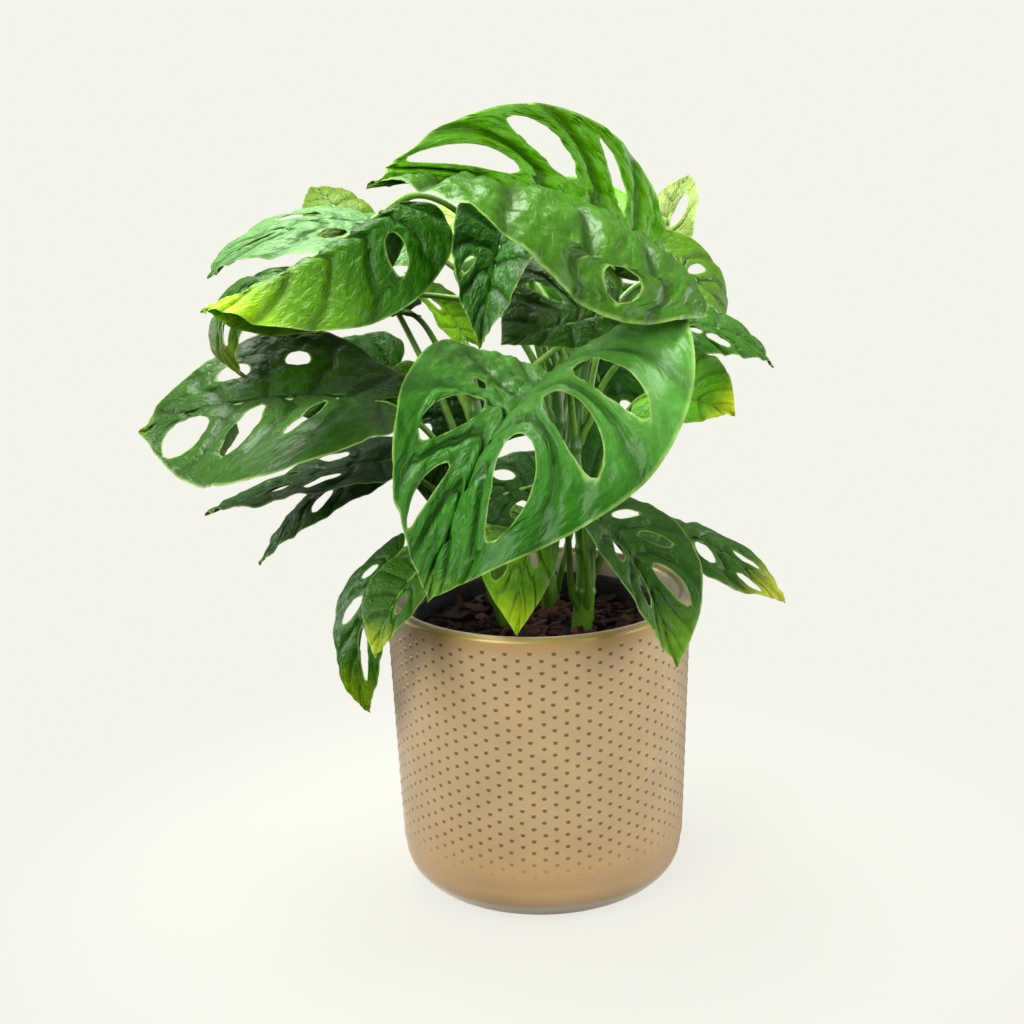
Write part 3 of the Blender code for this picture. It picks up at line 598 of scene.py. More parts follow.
BARKS, CRUMBS = 230, 700
bark_points, bark_cells, bark_rng = chip_field(BARKS, (5, 13), (3, 7), (1.4, 3), 11, 0.3)
bark_colour = tinted(BARKS, CHIP_POINTS, bark_rng, ["#140A07", "#2E1710", "#46271A", "#5C382A", "#20100B"])
crumb_points, crumb_cells, crumb_rng = chip_field(CRUMBS, (1.2, 3), (1, 2.4), (0.8, 2), 12, 0.1)
crumb_colour = tinted(CRUMBS, CHIP_POINTS, crumb_rng, ["#0A0705", "#1B100B", "#2B1A11", "#100A07"])
bark = tidy(*copies(bark_points, bark_cells, BARKS), bark_colour)
crumbs = tidy(*copies(crumb_points, crumb_cells, CRUMBS), crumb_colour)

soil, tree, shader = new_material("damp_peat_and_bark", Roughness=0.85, IOR=1.35)
tint, place = tint_and_place(tree)
fibre = noise(tree, place, Scale=700.0, Detail=5.0, Roughness=0.7)
patchy = mapped(tree, fibre, 0.3, 0.7, 0.3, 1.0)
drive(tree, shader, toned_by(tree, tint, patchy), None, embossed(tree, fibre, 0.8, 0.5 * MM))
peat_colour = np.broadcast_to(linear("#0F0A07"), peat[0].shape)
mix_points, mix_triangles = join(peat, bark[:2], crumbs[:2])
add_piece(
    "potting_soil", mix_points, mix_triangles, soil, "potting_mix", ["potting_mix"],
    colour=np.vstack([peat_colour, bark[2], crumbs[2]]), crease=35,
)

# %% [markdown]
# ## Leaf blades in the flat
#
# A monstera leaf is a heart whose side veins fan out of the midrib, with holes between the veins. So a
# blade is described by two numbers: u says which vein a point lies on, by where that vein reaches the
# edge, and v says how far along it lies, from 0 at the midrib to 1 at the edge. In that frame a hole is
# simply a long ellipse, and the bent leaf is the same sheet placed in space by a second function.

# %% Outline, veins and bending
EDGE = np.array([(0, 0), (-0.10, 0.20), (-0.135, 0.46), (-0.05, 0.80), (0.18, 1.0), (0.44, 0.93),
                 (0.68, 0.64), (0.86, 0.30), (0.95, 0.10), (1, 0)])
FIRST_VEIN = 0.22
VEIN_GAP = 0.13
LEAN = 0.14


def through(knots, place):
    """Catmull-Rom curve: a cubic through every knot whose slope there is half the step between neighbours."""
    knots = np.asarray(knots, float)
    i = np.minimum(place.astype(int), len(knots) - 2)
    t = (place - i)[..., None]
    ends = np.vstack([2 * knots[0] - knots[1], knots, 2 * knots[-1] - knots[-2]])
    a, b, c, d = ends[i], ends[i + 1], ends[i + 2], ends[i + 3]
    square, cube = 2 * a - 5 * b + 4 * c - d, 3 * b - a - 3 * c + d
    return 0.5 * (2 * b + (c - a) * t + square * t**2 + cube * t**3)


def fan(u, v):
    """A point of the flat blade: (1 - v)^2 root + 2 v (1 - v) lean + v^2 edge.

    The curve starts at the root on the midrib, leans out first and ends on the edge.
    """
    v = v[..., None]
    edge = through(EDGE, np.clip(u, 0, 1) * (len(EDGE) - 1))
    root = np.stack([np.clip((u - FIRST_VEIN) / (1 - FIRST_VEIN), 0, 1) ** 1.15, np.zeros_like(u)], -1)
    lean = np.stack([root[..., 0] + 0.25 * (edge[..., 0] - root[..., 0]), 0.5 * edge[..., 1]], -1)
    return (1 - v) ** 2 * root + 2 * v * (1 - v) * lean + v**2 * edge


def blade_place(leaf, a, b):
    """Bends the flat blade: a is the share of its length, b the signed share of its half width.

    The midrib is an integral of (cos dip cos head, cos dip sin head, -sin dip), whose dip and heading change
    along it. Across it each half leaves at its own rise and turns as a circular arc.
    """
    steps = np.linspace(-0.25, 1.05, 81)
    past = np.clip(steps, 0, None)
    dip = np.radians(leaf["pitch"] + leaf["bend"] * past ** leaf["ease"])
    head = np.radians(leaf["head"] + leaf["swerve"] * past)
    along = np.stack([np.cos(dip) * np.cos(head), np.cos(dip) * np.sin(head), -np.sin(dip)], -1)
    pieces = (along[1:] + along[:-1]) / 2 * (steps[1] - steps[0]) * leaf["length"] * MM
    rib = np.vstack([np.zeros(3), np.cumsum(pieces, 0)])

    def at(table, share):
        return np.stack([np.interp(share, steps, table[:, k]) for k in range(3)], -1)

    rib = rib - at(rib, np.array(0.0)) + leaf["base"]
    ahead = unit(at(along, a))
    heading = np.interp(a, steps, head)
    side = np.stack([-np.sin(heading), np.cos(heading), np.zeros_like(heading)], -1)
    up = np.cross(ahead, side)
    roll = np.radians(leaf["roll"] + leaf["twist"] * np.clip(a, 0, 1))[..., None]
    side, up = np.cos(roll) * side + np.sin(roll) * up, -np.sin(roll) * side + np.cos(roll) * up
    sign = np.where(b >= 0, 1, -1)
    half = leaf["width"] * MM / 2
    reach = np.abs(b) * half * (1 + leaf["uneven"] * sign)
    rise = np.radians(np.where(b >= 0, leaf["lift"][0], leaf["lift"][1]))
    curl = np.radians(np.where(b >= 0, leaf["curl"][0], leaf["curl"][1])) / half
    curl = np.where(np.abs(curl) < 1e-3, 1e-3, curl)
    out = (np.sin(rise + curl * reach) - np.sin(rise)) / curl
    over = (np.cos(rise) - np.cos(rise + curl * reach)) / curl
    return at(rib, a) + side * (sign * out)[..., None] + up * over[..., None]


# %% [markdown]
# ## Opening the holes
#
# Cutting holes out of a grid leaves stair steps. Instead each hole starts as a slit along one line of the
# grid, and the points on both sides are pushed apart until the slit is an ellipse. The push dies away
# towards the next vein, so the grid stays even, every hole edge is smooth, and no point is wasted. It is
# close to how the plant does it: the holes are thin places that tear open and spread while the leaf grows.

# %% Half a blade with its holes


def half_blade(holes, columns, rows):
    """One half's grid in (u, v): its points, vein count at each point, triangles and midrib's point numbers.

    A hole (u, v, half width, half length, lean) is centred on the line u + lean (v' - v). At a share s of its
    half length its half width is the full one times sqrt(1 - s^2) (1 - 0.2 s), so it is broader near the rib.
    """
    holes = sorted(holes)
    v = np.linspace(0, 1, rows + 1)
    even = np.linspace(0, 1, columns + 1)
    centres = [h[0] for h in holes]
    lines = [int(round(c * columns)) for c in centres]
    anchors = np.array([0, *[k / columns for k in lines], 1])
    hats = np.stack([np.interp(even, anchors, own) for own in np.eye(len(anchors))[1:-1]]) if holes else None
    u = np.broadcast_to(even, (rows + 1, columns + 1)).copy()
    if holes:
        middle = np.stack([cu + lean * (v - cv) for cu, cv, _, _, lean in holes], -1)
        u += ((middle - anchors[1:-1]) @ hats) * smooth_step(0, 0.15, v)[:, None]
    count = [0.5]
    for before, after in zip(centres, centres[1:]):
        count.append(count[-1] + max(1, round((after - before) / VEIN_GAP)))
    if holes:
        first, last = count[0] - centres[0] / VEIN_GAP, count[-1] + (1 - centres[-1]) / VEIN_GAP
        veins = np.interp(even, [0, *centres, 1], [first, *count, last])
    else:
        veins = (even - 0.05) / VEIN_GAP
    number = np.arange(u.size).reshape(u.shape)
    beyond = number.copy()
    push = np.zeros(u.shape)
    extra_u, extra_v, extra_veins = [], [], []
    total = u.size
    for line, (cu, cv, du, dv, _) in zip(lines, holes):
        low, high = int(round((cv - dv) * rows)), int(round((cv + dv) * rows))
        low, high = max(low, 1), min(high, rows - 1)
        inner = np.arange(low + 1, high)
        level = (inner - (low + high) / 2) / ((high - low) / 2)
        width = du * np.sqrt(1 - level**2) * (1 - 0.2 * level)
        near = [abs(cu - c) for c in centres if c != cu]
        span = min([0.12] + [0.6 * d for d in near])
        for side in (-1, 1):
            distance = side * (even - even[line])
            fade = np.where(distance > 1e-9, np.clip(1 - distance / (2.6 * span), 0, 1) ** 2, 0)
            push[inner] += side * width[:, None] * fade
        extra_u.append(u[inner, line] + width)
        extra_v.append(v[inner])
        extra_veins.append(np.full(len(inner), veins[line]))
        push[inner, line] -= width
        beyond[inner, line] = total + np.arange(len(inner))
        total += len(inner)
    moved = np.clip(u + push, 0, 1)
    all_u = np.concatenate([moved.ravel(), *extra_u])
    all_v = np.concatenate([np.broadcast_to(v[:, None], u.shape).ravel(), *extra_v])
    all_veins = np.concatenate([np.broadcast_to(veins, u.shape).ravel(), *extra_veins])
    at_notch = (even[None, :] <= FIRST_VEIN) & (v[:, None] == 0) | (even[None, :] == 0)
    number[at_notch] = 0
    beyond[at_notch] = 0
    number[:, -1] = number[0, -1]
    a, b, c, d = beyond[:-1, :-1], number[:-1, 1:], number[1:, 1:], beyond[1:, :-1]
    faces = two_triangles(a, b, c, d)
    return all_u, all_v, all_veins, faces, number[0]


def open_edges(triangles):
    """The sheet's free edges, each in the direction its triangle walks it."""
    edge = np.concatenate([triangles[:, [0, 1]], triangles[:, [1, 2]], triangles[:, [2, 0]]])
    key = np.sort(edge, axis=1)
    _, back, times = np.unique(key, axis=0, return_inverse=True, return_counts=True)
    return edge[times[back.ravel()] == 1]


def point_normals(points, triangles):
    """The sum of the normals of the triangles round each point, made unit length."""
    a, b, c = (points[triangles[:, k]] for k in range(3))
    face = np.cross(b - a, c - a)
    total = np.zeros_like(points)
    for k in range(3):
        np.add.at(total, triangles[:, k], face)
    return unit(total)

# %% [markdown]
# ## Relief: quilting, ripples and veins
#
# The side veins are tied down and the green between them keeps growing, so it bulges up like a quilt. Smaller
# puckers cross each bulge, the edge ripples, and the midrib lies in a groove. All of these are heights
# along the sheet's own normal, added before the sheet gets its thickness.

# %% Relief and thickness
BLADE = 0.5 * MM


def relief(leaf, seed, veins, u, v, a, b):
    """Heights in metres, worked out from the real distance between neighbouring side veins.

    Between two veins the blade rises as 1 - exp(-(d / 0.13)^2), where d is how far the nearest vein is as a
    share of that distance. Seeded lumps pucker the bulge, slow sines sway the edge, and the midrib lies in
    a groove 0.8 mm deep.
    """
    own = np.random.default_rng(seed)
    phase = own.uniform(0, math.tau, 4)
    length, half = leaf["length"], leaf["width"] / 2
    step = (fan(np.clip(u + 0.065, 0, 1), v) - fan(np.clip(u - 0.065, 0, 1), v)) * (length, half)
    along = unit((fan(u, np.clip(v + 0.05, 0, 1)) - fan(u, np.clip(v - 0.05, 0, 1))) * (length, half))
    spacing = np.abs(step[:, 0] * along[:, 1] - step[:, 1] * along[:, 0])
    near = np.abs(veins - np.round(veins))
    between = 1 - np.exp(-((near / 0.13) ** 2))
    x, y = a * length, b * half
    bulge = leaf["quilt"] * np.minimum(spacing, 16) * between
    height = 0.115 * bulge * (1 - 0.45 * v**2)
    height += 0.04 * bulge * lumps(x, y, seed + 50, 13.0, 3)
    height += 0.09 * np.minimum(spacing / 5, 1) * leaf["quilt"] * lumps(x, y, seed + 90, 5.0, 2)
    ripple = np.sin(math.pi * veins + phase[1]) + 0.6 * np.sin(math.tau * veins + phase[2])
    height += 0.9 * leaf["ripple"] * ripple * v**3 * length / 110
    sway = np.sin(math.tau * (0.22 * veins + 0.3 * v) + phase[3])
    height += 0.9 * sway * smooth_step(0.1, 0.5, v) * length / 110
    return (height - 0.8 * np.exp(-((y / 1.7) ** 2))) * MM


def distance_to(points, others):
    """The distance from each point to the nearest of the others."""
    gap = points[:, None] - others[None]
    return np.sqrt((gap**2).sum(-1).min(1))


def blade_sheet(leaf, seed):
    """The bent, embossed sheet: points, triangles, and what the colours need (veins, v, a, side, edge)."""
    columns, rows = leaf["grid"]
    parts = []
    for side in (1, -1):
        holes = [tuple(h[1:]) for h in leaf["holes"] if h[0] == side]
        holes = [h if len(h) == 5 else (*h, LEAN) for h in holes]
        u, v, veins, faces, spine = half_blade(holes, columns, rows)
        flat = fan(u, v)
        parts.append((flat[:, 0], side * flat[:, 1], u, v, veins, faces[:, ::side], spine))
    count = len(parts[0][0])
    again = np.arange(len(parts[1][0])) + count
    again[parts[1][6]] = parts[0][6]
    triangles = np.vstack([parts[0][5], again[parts[1][5]]])
    a, b, u, v, veins = (np.concatenate([parts[0][k], parts[1][k]]) for k in range(5))
    side = np.repeat([1, -1], [count, len(parts[1][0])])
    b = np.where(side > 0, np.maximum(b, 0), np.minimum(b, -1e-9))
    points = blade_place(leaf, a, b)
    points, triangles, a, b, u, v, veins, side = tidy(points, triangles, a, b, u, v, veins, side)
    normals = point_normals(points, triangles)
    points = points + normals * relief(leaf, seed, veins, u, v, a, b)[:, None]
    free = np.unique(open_edges(triangles))
    edge = distance_to(points, points[free])
    return points, triangles, a, b, v, veins, side, edge


def give_thickness(points, triangles, edge):
    """Closes a sheet: a top and an underside half a blade apart each way, thinner at the edge, and a rim."""
    normals = point_normals(points, triangles)
    half = BLADE / 2 * (0.35 + 0.65 * smooth_step(0, 1.6 * MM, edge))[:, None]
    count = len(points)
    free = open_edges(triangles)
    here, after = free[:, 0], free[:, 1]
    rim = two_triangles(here, here + count, after + count, after)
    both = np.vstack([points + normals * half, points - normals * half])
    return both, np.vstack([triangles, triangles[:, ::-1] + count, rim])

# %% [markdown]
# ## Thirty-two leaves, one row each
#
# Every leaf is the same heart, told apart by numbers a gardener could read off: where its blade starts
# (millimetres, z above the mix), which stem bears it and how high, its length and width, where it heads, how
# far it droops at its base and how much more by its tip, how it rolls and twists, and how its two halves
# rise and curl. A leaf that hangs over the pot is placed from the pot's rim instead.

# %% Stems and leaf table
STEMS = {
    "a": dict(route=[(20, -6, 0), (22, -4, 40), (17, 2, 85), (24, 8, 130)], foot=5.0, top=3.0),
    "b": dict(route=[(-14, 4, 0), (-18, 6, 35), (-24, 3, 80), (-29, 8, 125)], foot=4.4, top=2.8),
    "c": dict(route=[(6, 26, 0), (4, 29, 45), (11, 32, 90), (8, 38, 135)], foot=4.2, top=2.6),
}

# A hole is (half, u, v, half width in u, half length in v); +1 is the half left of the midrib
FEW_HOLES = [(1, 0.5, 0.5, 0.04, 0.22), (-1, 0.5, 0.5, 0.04, 0.22), (1, 0.66, 0.48, 0.035, 0.2),
             (-1, 0.66, 0.48, 0.035, 0.2)]
TWO_HOLES = [(1, 0.55, 0.5, 0.045, 0.22), (-1, 0.55, 0.5, 0.045, 0.22)]

LEAVES = {
    "crown": dict(
        base=(37, -4, 164), stem="b", at=98, splay=0.4, length=134, width=135, uneven=0.29, head=211,
        pitch=-47, bend=51, roll=-16, twist=-29, lift=(51, 49), curl=(-85, 26),
        holes=[(-1, 0.725, 0.62, 0.055, 0.31, 0.25), (-1, 0.567, 0.64, 0.037, 0.25, 0.19),
        (-1, 0.43, 0.7, 0.018, 0.21, 0.28), (1, 0.49, 0.84, 0.035, 0.09, 0.0)]),
    "front": dict(
        base=(10, -32, 121), stem="a", at=100, length=131, width=135, uneven=0.26, head=238, pitch=2,
        bend=62, roll=18, twist=-59, lift=(38, 12), curl=(-55, 67),
        holes=[(-1, 0.567, 0.51, 0.05, 0.25, 0.2), (1, 0.685, 0.49, 0.056, 0.28, 0.25),
        (1, 0.553, 0.55, 0.031, 0.27, 0.18), (1, 0.465, 0.61, 0.028, 0.24, 0.16),
        (-1, 0.715, 0.64, 0.023, 0.3, 0.12), (-1, 0.455, 0.45, 0.01, 0.07, 0.0)]),
    "arch": dict(
        base=(-57, -31, 201), stem="c", at=98, splay=0.0, length=103, width=88, uneven=-0.14, head=215,
        pitch=28, bend=-19, roll=-5, twist=6, swerve=9, lift=(-50, -47), curl=(-15, -24),
        holes=[(1, 0.4, 0.5, 0.03, 0.22), (-1, 0.4, 0.5, 0.03, 0.22)]),
    "silver": dict(
        base=(-58, 38, 178), stem="c", at=112, splay=0.4, length=97, width=66, head=189, pitch=-25, bend=69,
        roll=-12, lift=(-5, -4), curl=(-7, -6), holes=[(1, 0.77, 0.4, 0.06, 0.2),
        (1, 0.53, 0.44, 0.04, 0.14), (-1, 0.6, 0.5, 0.04, 0.22)]),
    "curl": dict(
        base=(-81, 13, 161), stem="a", at=122, neck=0.3, splay=0.3, length=100, width=54, uneven=-0.19,
        head=195, pitch=-21, bend=177, ease=1.7, roll=-11, twist=-6, swerve=18, lift=(-8, -12),
        curl=(-25, -41), holes=[(1, 0.72, 0.45, 0.05, 0.28)]),
    "peek": dict(
        base=(-82, 61, 176), stem="b", at=60, neck=0.2, splay=0.4, length=52, width=34, head=128, pitch=-43,
        bend=45, roll=-22, swerve=-15, lift=(-10, -7), curl=(-11, -28)),
    "veil": dict(
        base=(-20, 64, 174), stem="a", at=115, splay=0.1, length=66, width=53, head=144, pitch=-23, bend=32,
        roll=-17, lift=(-5, -16), curl=(-15, -8), holes=TWO_HOLES[1:]),
    "teal": dict(
        base=(-58, 22, 146), stem="b", at=109, splay=0.6, length=60, width=46, head=182, pitch=-3, bend=28,
        roll=-16, twist=-10, lift=(3, 0), curl=(36, 0), holes=TWO_HOLES[:1]),
    "wing": dict(
        base=(-68, -15, 112), stem="b", at=57, splay=0.4, length=118, width=123, uneven=0.16, head=179,
        pitch=-8, bend=32, roll=-18, twist=-45, swerve=-22, lift=(20, -18), curl=(-6, 23),
        holes=[(1, 0.757, 0.6, 0.058, 0.34, 0.0), (1, 0.6, 0.42, 0.028, 0.31, 0.03),
        (1, 0.45, 0.34, 0.015, 0.22, 0.18), (-1, 0.663, 0.6, 0.037, 0.15, 0.0),
        (-1, 0.53, 0.6, 0.024, 0.09, 0.0)]),
    "back_left": dict(
        base=(-62, 47, 116), stem="b", at=44, splay=0.4, length=60, width=56, head=208, pitch=17, bend=-6,
        roll=-47, lift=(0, -6), curl=(-15, -17), holes=TWO_HOLES),
    "under_left": dict(
        base=(-66, -2, 82), stem="b", at=84, length=91, width=63, head=173, pitch=9, bend=15, roll=-10,
        twist=8, lift=(3, -2), holes=FEW_HOLES),
    "fang": dict(
        base=(-77, 30, 71), stem="b", at=28, length=71, width=40, head=197, pitch=12, bend=50,
        lift=(-11, -12), curl=(-19, -27), holes=TWO_HOLES),
    "pendant": dict(
        rim=(205, -2, 46), stem="b", at=14, neck=0.35, length=80, width=49, head=216, pitch=33, bend=84,
        roll=8, twist=-9, swerve=18, lift=(6, 2), curl=(7, -17), holes=[(-1, 0.4, 0.34, 0.03, 0.16),
        (-1, 0.55, 0.36, 0.04, 0.26), (1, 0.68, 0.42, 0.055, 0.32), (1, 0.48, 0.5, 0.03, 0.2)]),
    "tongue": dict(
        rim=(232, 10, 51), stem="b", at=6, length=48, width=33, uneven=-0.13, head=232, pitch=17, bend=53,
        lift=(4, 3), curl=(-10, -12), holes=[(1, 0.61, 0.4, 0.05, 0.2)]),
    "lemon": dict(
        base=(-2, -18, 58), stem="c", at=6, neck=0.2, splay=0.6, length=65, width=37, uneven=-0.23,
        head=261, pitch=22, bend=26, roll=-8, lift=(-12, 0), curl=(-14, -9),
        holes=[(-1, 0.61, 0.58, 0.045, 0.24), (1, 0.57, 0.28, 0.04, 0.16)]),
    "apron": dict(
        rim=(310, -31, 61), stem="a", at=20, neck=0.3, length=84, width=57, uneven=0.21, head=304, pitch=19,
        bend=36, roll=-6, swerve=-12, lift=(12, 20), curl=(-12, 0), holes=[(1, 0.34, 0.46, 0.03, 0.2),
        (1, 0.48, 0.48, 0.03, 0.2), (1, 0.65, 0.52, 0.045, 0.3), (-1, 0.52, 0.4, 0.035, 0.22),
        (-1, 0.68, 0.4, 0.035, 0.22)]),
    "reach": dict(
        rim=(5, -16, 48), stem="a", at=34, length=71, width=55, head=344, pitch=13, bend=33, roll=19,
        twist=16, lift=(-19, 5), curl=(-30, 21), holes=[(-1, 0.55, 0.34, 0.04, 0.22),
        (1, 0.72, 0.34, 0.04, 0.22), (-1, 0.74, 0.7, 0.04, 0.2)]),
    "shade": dict(
        base=(-11, 1, 187), stem="c", at=122, length=76, width=46, uneven=-0.1, head=259, pitch=27,
        bend=16, lift=(25, 38), curl=(2, 20), holes=[(-1, 0.61, 0.66, 0.02, 0.18)]),
    "fan": dict(
        base=(36, -14, 148), stem="c", at=118, neck=0.35, splay=0.5, length=57, width=56, uneven=-0.5,
        head=203, pitch=3, bend=7, roll=-46, twist=9, swerve=10, lift=(-2, -4), curl=(-11, -3),
        holes=[(-1, 0.57, 0.54, 0.03, 0.24), (-1, 0.46, 0.48, 0.03, 0.2)]),
    "ghost": dict(
        base=(63, 78, 159), stem="c", at=112, length=55, width=32, uneven=-0.14, head=66, pitch=-62,
        bend=42, lift=(2, 20), curl=(-16, 3), holes=[(-1, 0.58, 0.44, 0.09, 0.32)]),
    "cape": dict(
        base=(54, 42, 154), stem="a", at=92, neck=0.3, splay=0.3, length=51, width=58, head=15, pitch=-15,
        bend=97, roll=26, lift=(17, 13), curl=(-1, -5), holes=[(1, 0.47, 0.3, 0.04, 0.16),
        (1, 0.6, 0.36, 0.03, 0.2)]),
    "hook": dict(
        base=(60, -4, 141), stem="a", at=97, neck=0.15, splay=0.1, length=56, width=40, head=10, pitch=-4,
        bend=56, roll=21, lift=(4, 2), curl=(-15, -20), holes=[(-1, 0.54, 0.56, 0.05, 0.22),
        (-1, 0.42, 0.3, 0.035, 0.16)]),
    "frill": dict(
        base=(53, 5, 108), stem="a", at=60, length=42, width=50, uneven=0.24, head=328, pitch=-2, bend=18,
        roll=24, lift=(14, -5), curl=(-16, -5), holes=[(1, 0.49, 0.24, 0.03, 0.12)]),
    "rear": dict(
        base=(33, 57, 161), stem="c", at=122, neck=0.1, length=73, width=57, head=113, pitch=-45, bend=34,
        roll=-16, lift=(6, 7), curl=(-9, -11), holes=FEW_HOLES),
    "lime": dict(
        base=(-32, 43, 130), stem="b", at=117, neck=0.4, splay=0.4, length=49, width=31, head=132,
        pitch=-48, bend=31, lift=(18, 0), curl=(-1, -10), holes=TWO_HOLES[:1]),
    "inner": dict(
        base=(6, -19, 75), stem="a", at=18, neck=0.2, length=48, width=38, head=204, pitch=5, bend=9,
        roll=-50, lift=(-5, -5), curl=(-10, -10), holes=TWO_HOLES),
    "back_right": dict(
        base=(28, 80, 139), stem="c", at=102, neck=0.2, splay=0.8, length=76, width=62, head=62, pitch=-39,
        bend=70, roll=8, lift=(-5, -5), curl=(-15, -15), holes=FEW_HOLES),
    "back_low": dict(
        base=(0, 64, 84), stem="c", at=46, neck=0.2, length=91, width=74, head=113, pitch=3, bend=43,
        lift=(-5, -5), curl=(-15, -15), holes=FEW_HOLES),
    "back_high": dict(
        base=(5, 55, 148), stem="c", at=111, neck=0.2, length=88, width=68, head=108, pitch=-31, bend=63,
        lift=(-5, -5), curl=(-15, -15), holes=FEW_HOLES),
    "back_rim": dict(
        base=(24, 52, 62), stem="c", at=6, neck=0.4, length=84, width=64, head=95, pitch=1, bend=50,
        lift=(-5, -5), curl=(-15, -15), holes=FEW_HOLES),
    "deep_left": dict(
        base=(-37, 57, 102), stem="b", at=92, splay=0.3, length=66, width=56, head=259, pitch=42, bend=34,
        lift=(-4, -4), curl=(-12, -12), holes=TWO_HOLES),
    "deep_right": dict(
        base=(31, 65, 111), stem="c", at=93, splay=0.3, length=70, width=58, head=276, pitch=46, bend=30,
        lift=(-4, -4), curl=(-12, -12), holes=TWO_HOLES),
}
PLAIN_LEAF = dict(
    roll=0, twist=0, swerve=0, ease=1.0, uneven=0.0, lift=(0, 0), curl=(0, 0), neck=0.25, splay=0.2, holes=[],
)


# %% [markdown]
# ## Leaf colours
#
# Young leaves are yellow-green, old ones dark and bluish, and undersides are paler and duller. On top of
# that the colours hold painted light and painted shade: a leaf with the light behind it is painted brighter
# yellow-green, and leaves in shade deep in the plant are painted dark. A few tips have dried to yellow, and a
# thin pale line along every edge is a painted highlight, yellower where an edge has dried. Each leaf has a
# row of those colours, and they are blended over the blade into a colour attribute. Along the veins, where
# the quilting dips, the colour is darkened as painted shade, the more so the more the leaf is quilted, and so
# is the midrib's groove, while the tops of the bulges are painted a little lighter.

# %% Colour table
LOOKS = {
    # crown: the far half's "other" colour is painted light, that half glowing with the light behind it
    "crown": dict(quilt=2.4, upper="#34610C", under="#5F8818", other="#4E8D03", ripple=0.5),
    "front": dict(base_tone="#457B2C", quilt=1.7, upper="#235A0A", under="#4D7410", ripple=0.7),
    # arch: its dark base_tone is painted shade and its bright tip is painted light through the blade
    "arch": dict(upper="#497803", under="#4A7309", base_tone="#215402", tip="#A6DC0A", ripple=1.5),
    # silver: its pale grey-green is partly a painted sheen
    "silver": dict(upper="#578348", under="#678A49", ripple=1.0),
    "curl": dict(upper="#275205", under="#3C6709", tip="#728B24", margin="#ABC364", ripple=1.0),
    "peek": dict(upper="#557208", under="#5B750D", ripple=1.0),
    "veil": dict(upper="#92C850", under="#8FC06A", ripple=0.8),
    "teal": dict(upper="#112C05", under="#1C3A0B", ripple=1.0),
    "wing": dict(upper="#244907", under="#335A0D", ripple=1.0),
    "back_left": dict(upper="#3A7C01", under="#4A8507", ripple=0.6),
    # under_left and fang: painted dark as the shade under the wing leaf
    "under_left": dict(upper="#1B4806", under="#274F0A", ripple=1.0),
    "fang": dict(upper="#1C4006", under="#274F09", ripple=1.0),
    "pendant": dict(upper="#275305", under="#356209", tip="#81A609", ripple=0.7),
    "tongue": dict(upper="#2C5604", under="#365C06", tip="#A9BD0C", ripple=0.6),
    "lemon": dict(upper="#518205", under="#608B0C", tip="#AECE0C", ripple=0.4),
    "apron": dict(upper="#234A07", under="#33550B", tip="#5F8A0A", ripple=0.5),
    "reach": dict(upper="#2B5408", under="#3D650D", tip="#B4B82A", ripple=0.9),
    "shade": dict(upper="#225606", under="#356C0C", ripple=0.5),
    "fan": dict(upper="#2A5208", under="#537C41", ripple=0.4),
    "ghost": dict(upper="#7E9644", under="#879A54", ripple=0.6),
    "cape": dict(upper="#49740D", under="#5C8416", ripple=0.9),
    "hook": dict(upper="#316609", under="#467C10", ripple=1.2),
    "frill": dict(upper="#67B616", under="#7DC41E", tip="#D8E81E", margin="#BCCA24", ripple=1.6),
    "rear": dict(upper="#558C09", under="#689613", ripple=0.8),
    "lime": dict(upper="#84BE0D", under="#8FC318", ripple=0.8),
    # inner: painted dark as shade, deep behind the front leaf
    "inner": dict(upper="#1A4004", under="#254C08", ripple=0.8),
    "back_right": dict(upper="#3A7B0C", under="#589115", ripple=0.8),
    "back_low": dict(upper="#316B0A", under="#4C8412", ripple=0.8),
    "back_high": dict(upper="#40840E", under="#5B9518", ripple=0.8),
    "back_rim": dict(upper="#316909", under="#4C8112", ripple=0.8),
    # deep_left and deep_right: painted dark as the shade deep inside the plant
    "deep_left": dict(upper="#1C4A06", under="#2C5C0B", ripple=0.8),
    "deep_right": dict(upper="#1F5007", under="#2F620C", ripple=0.8),
}


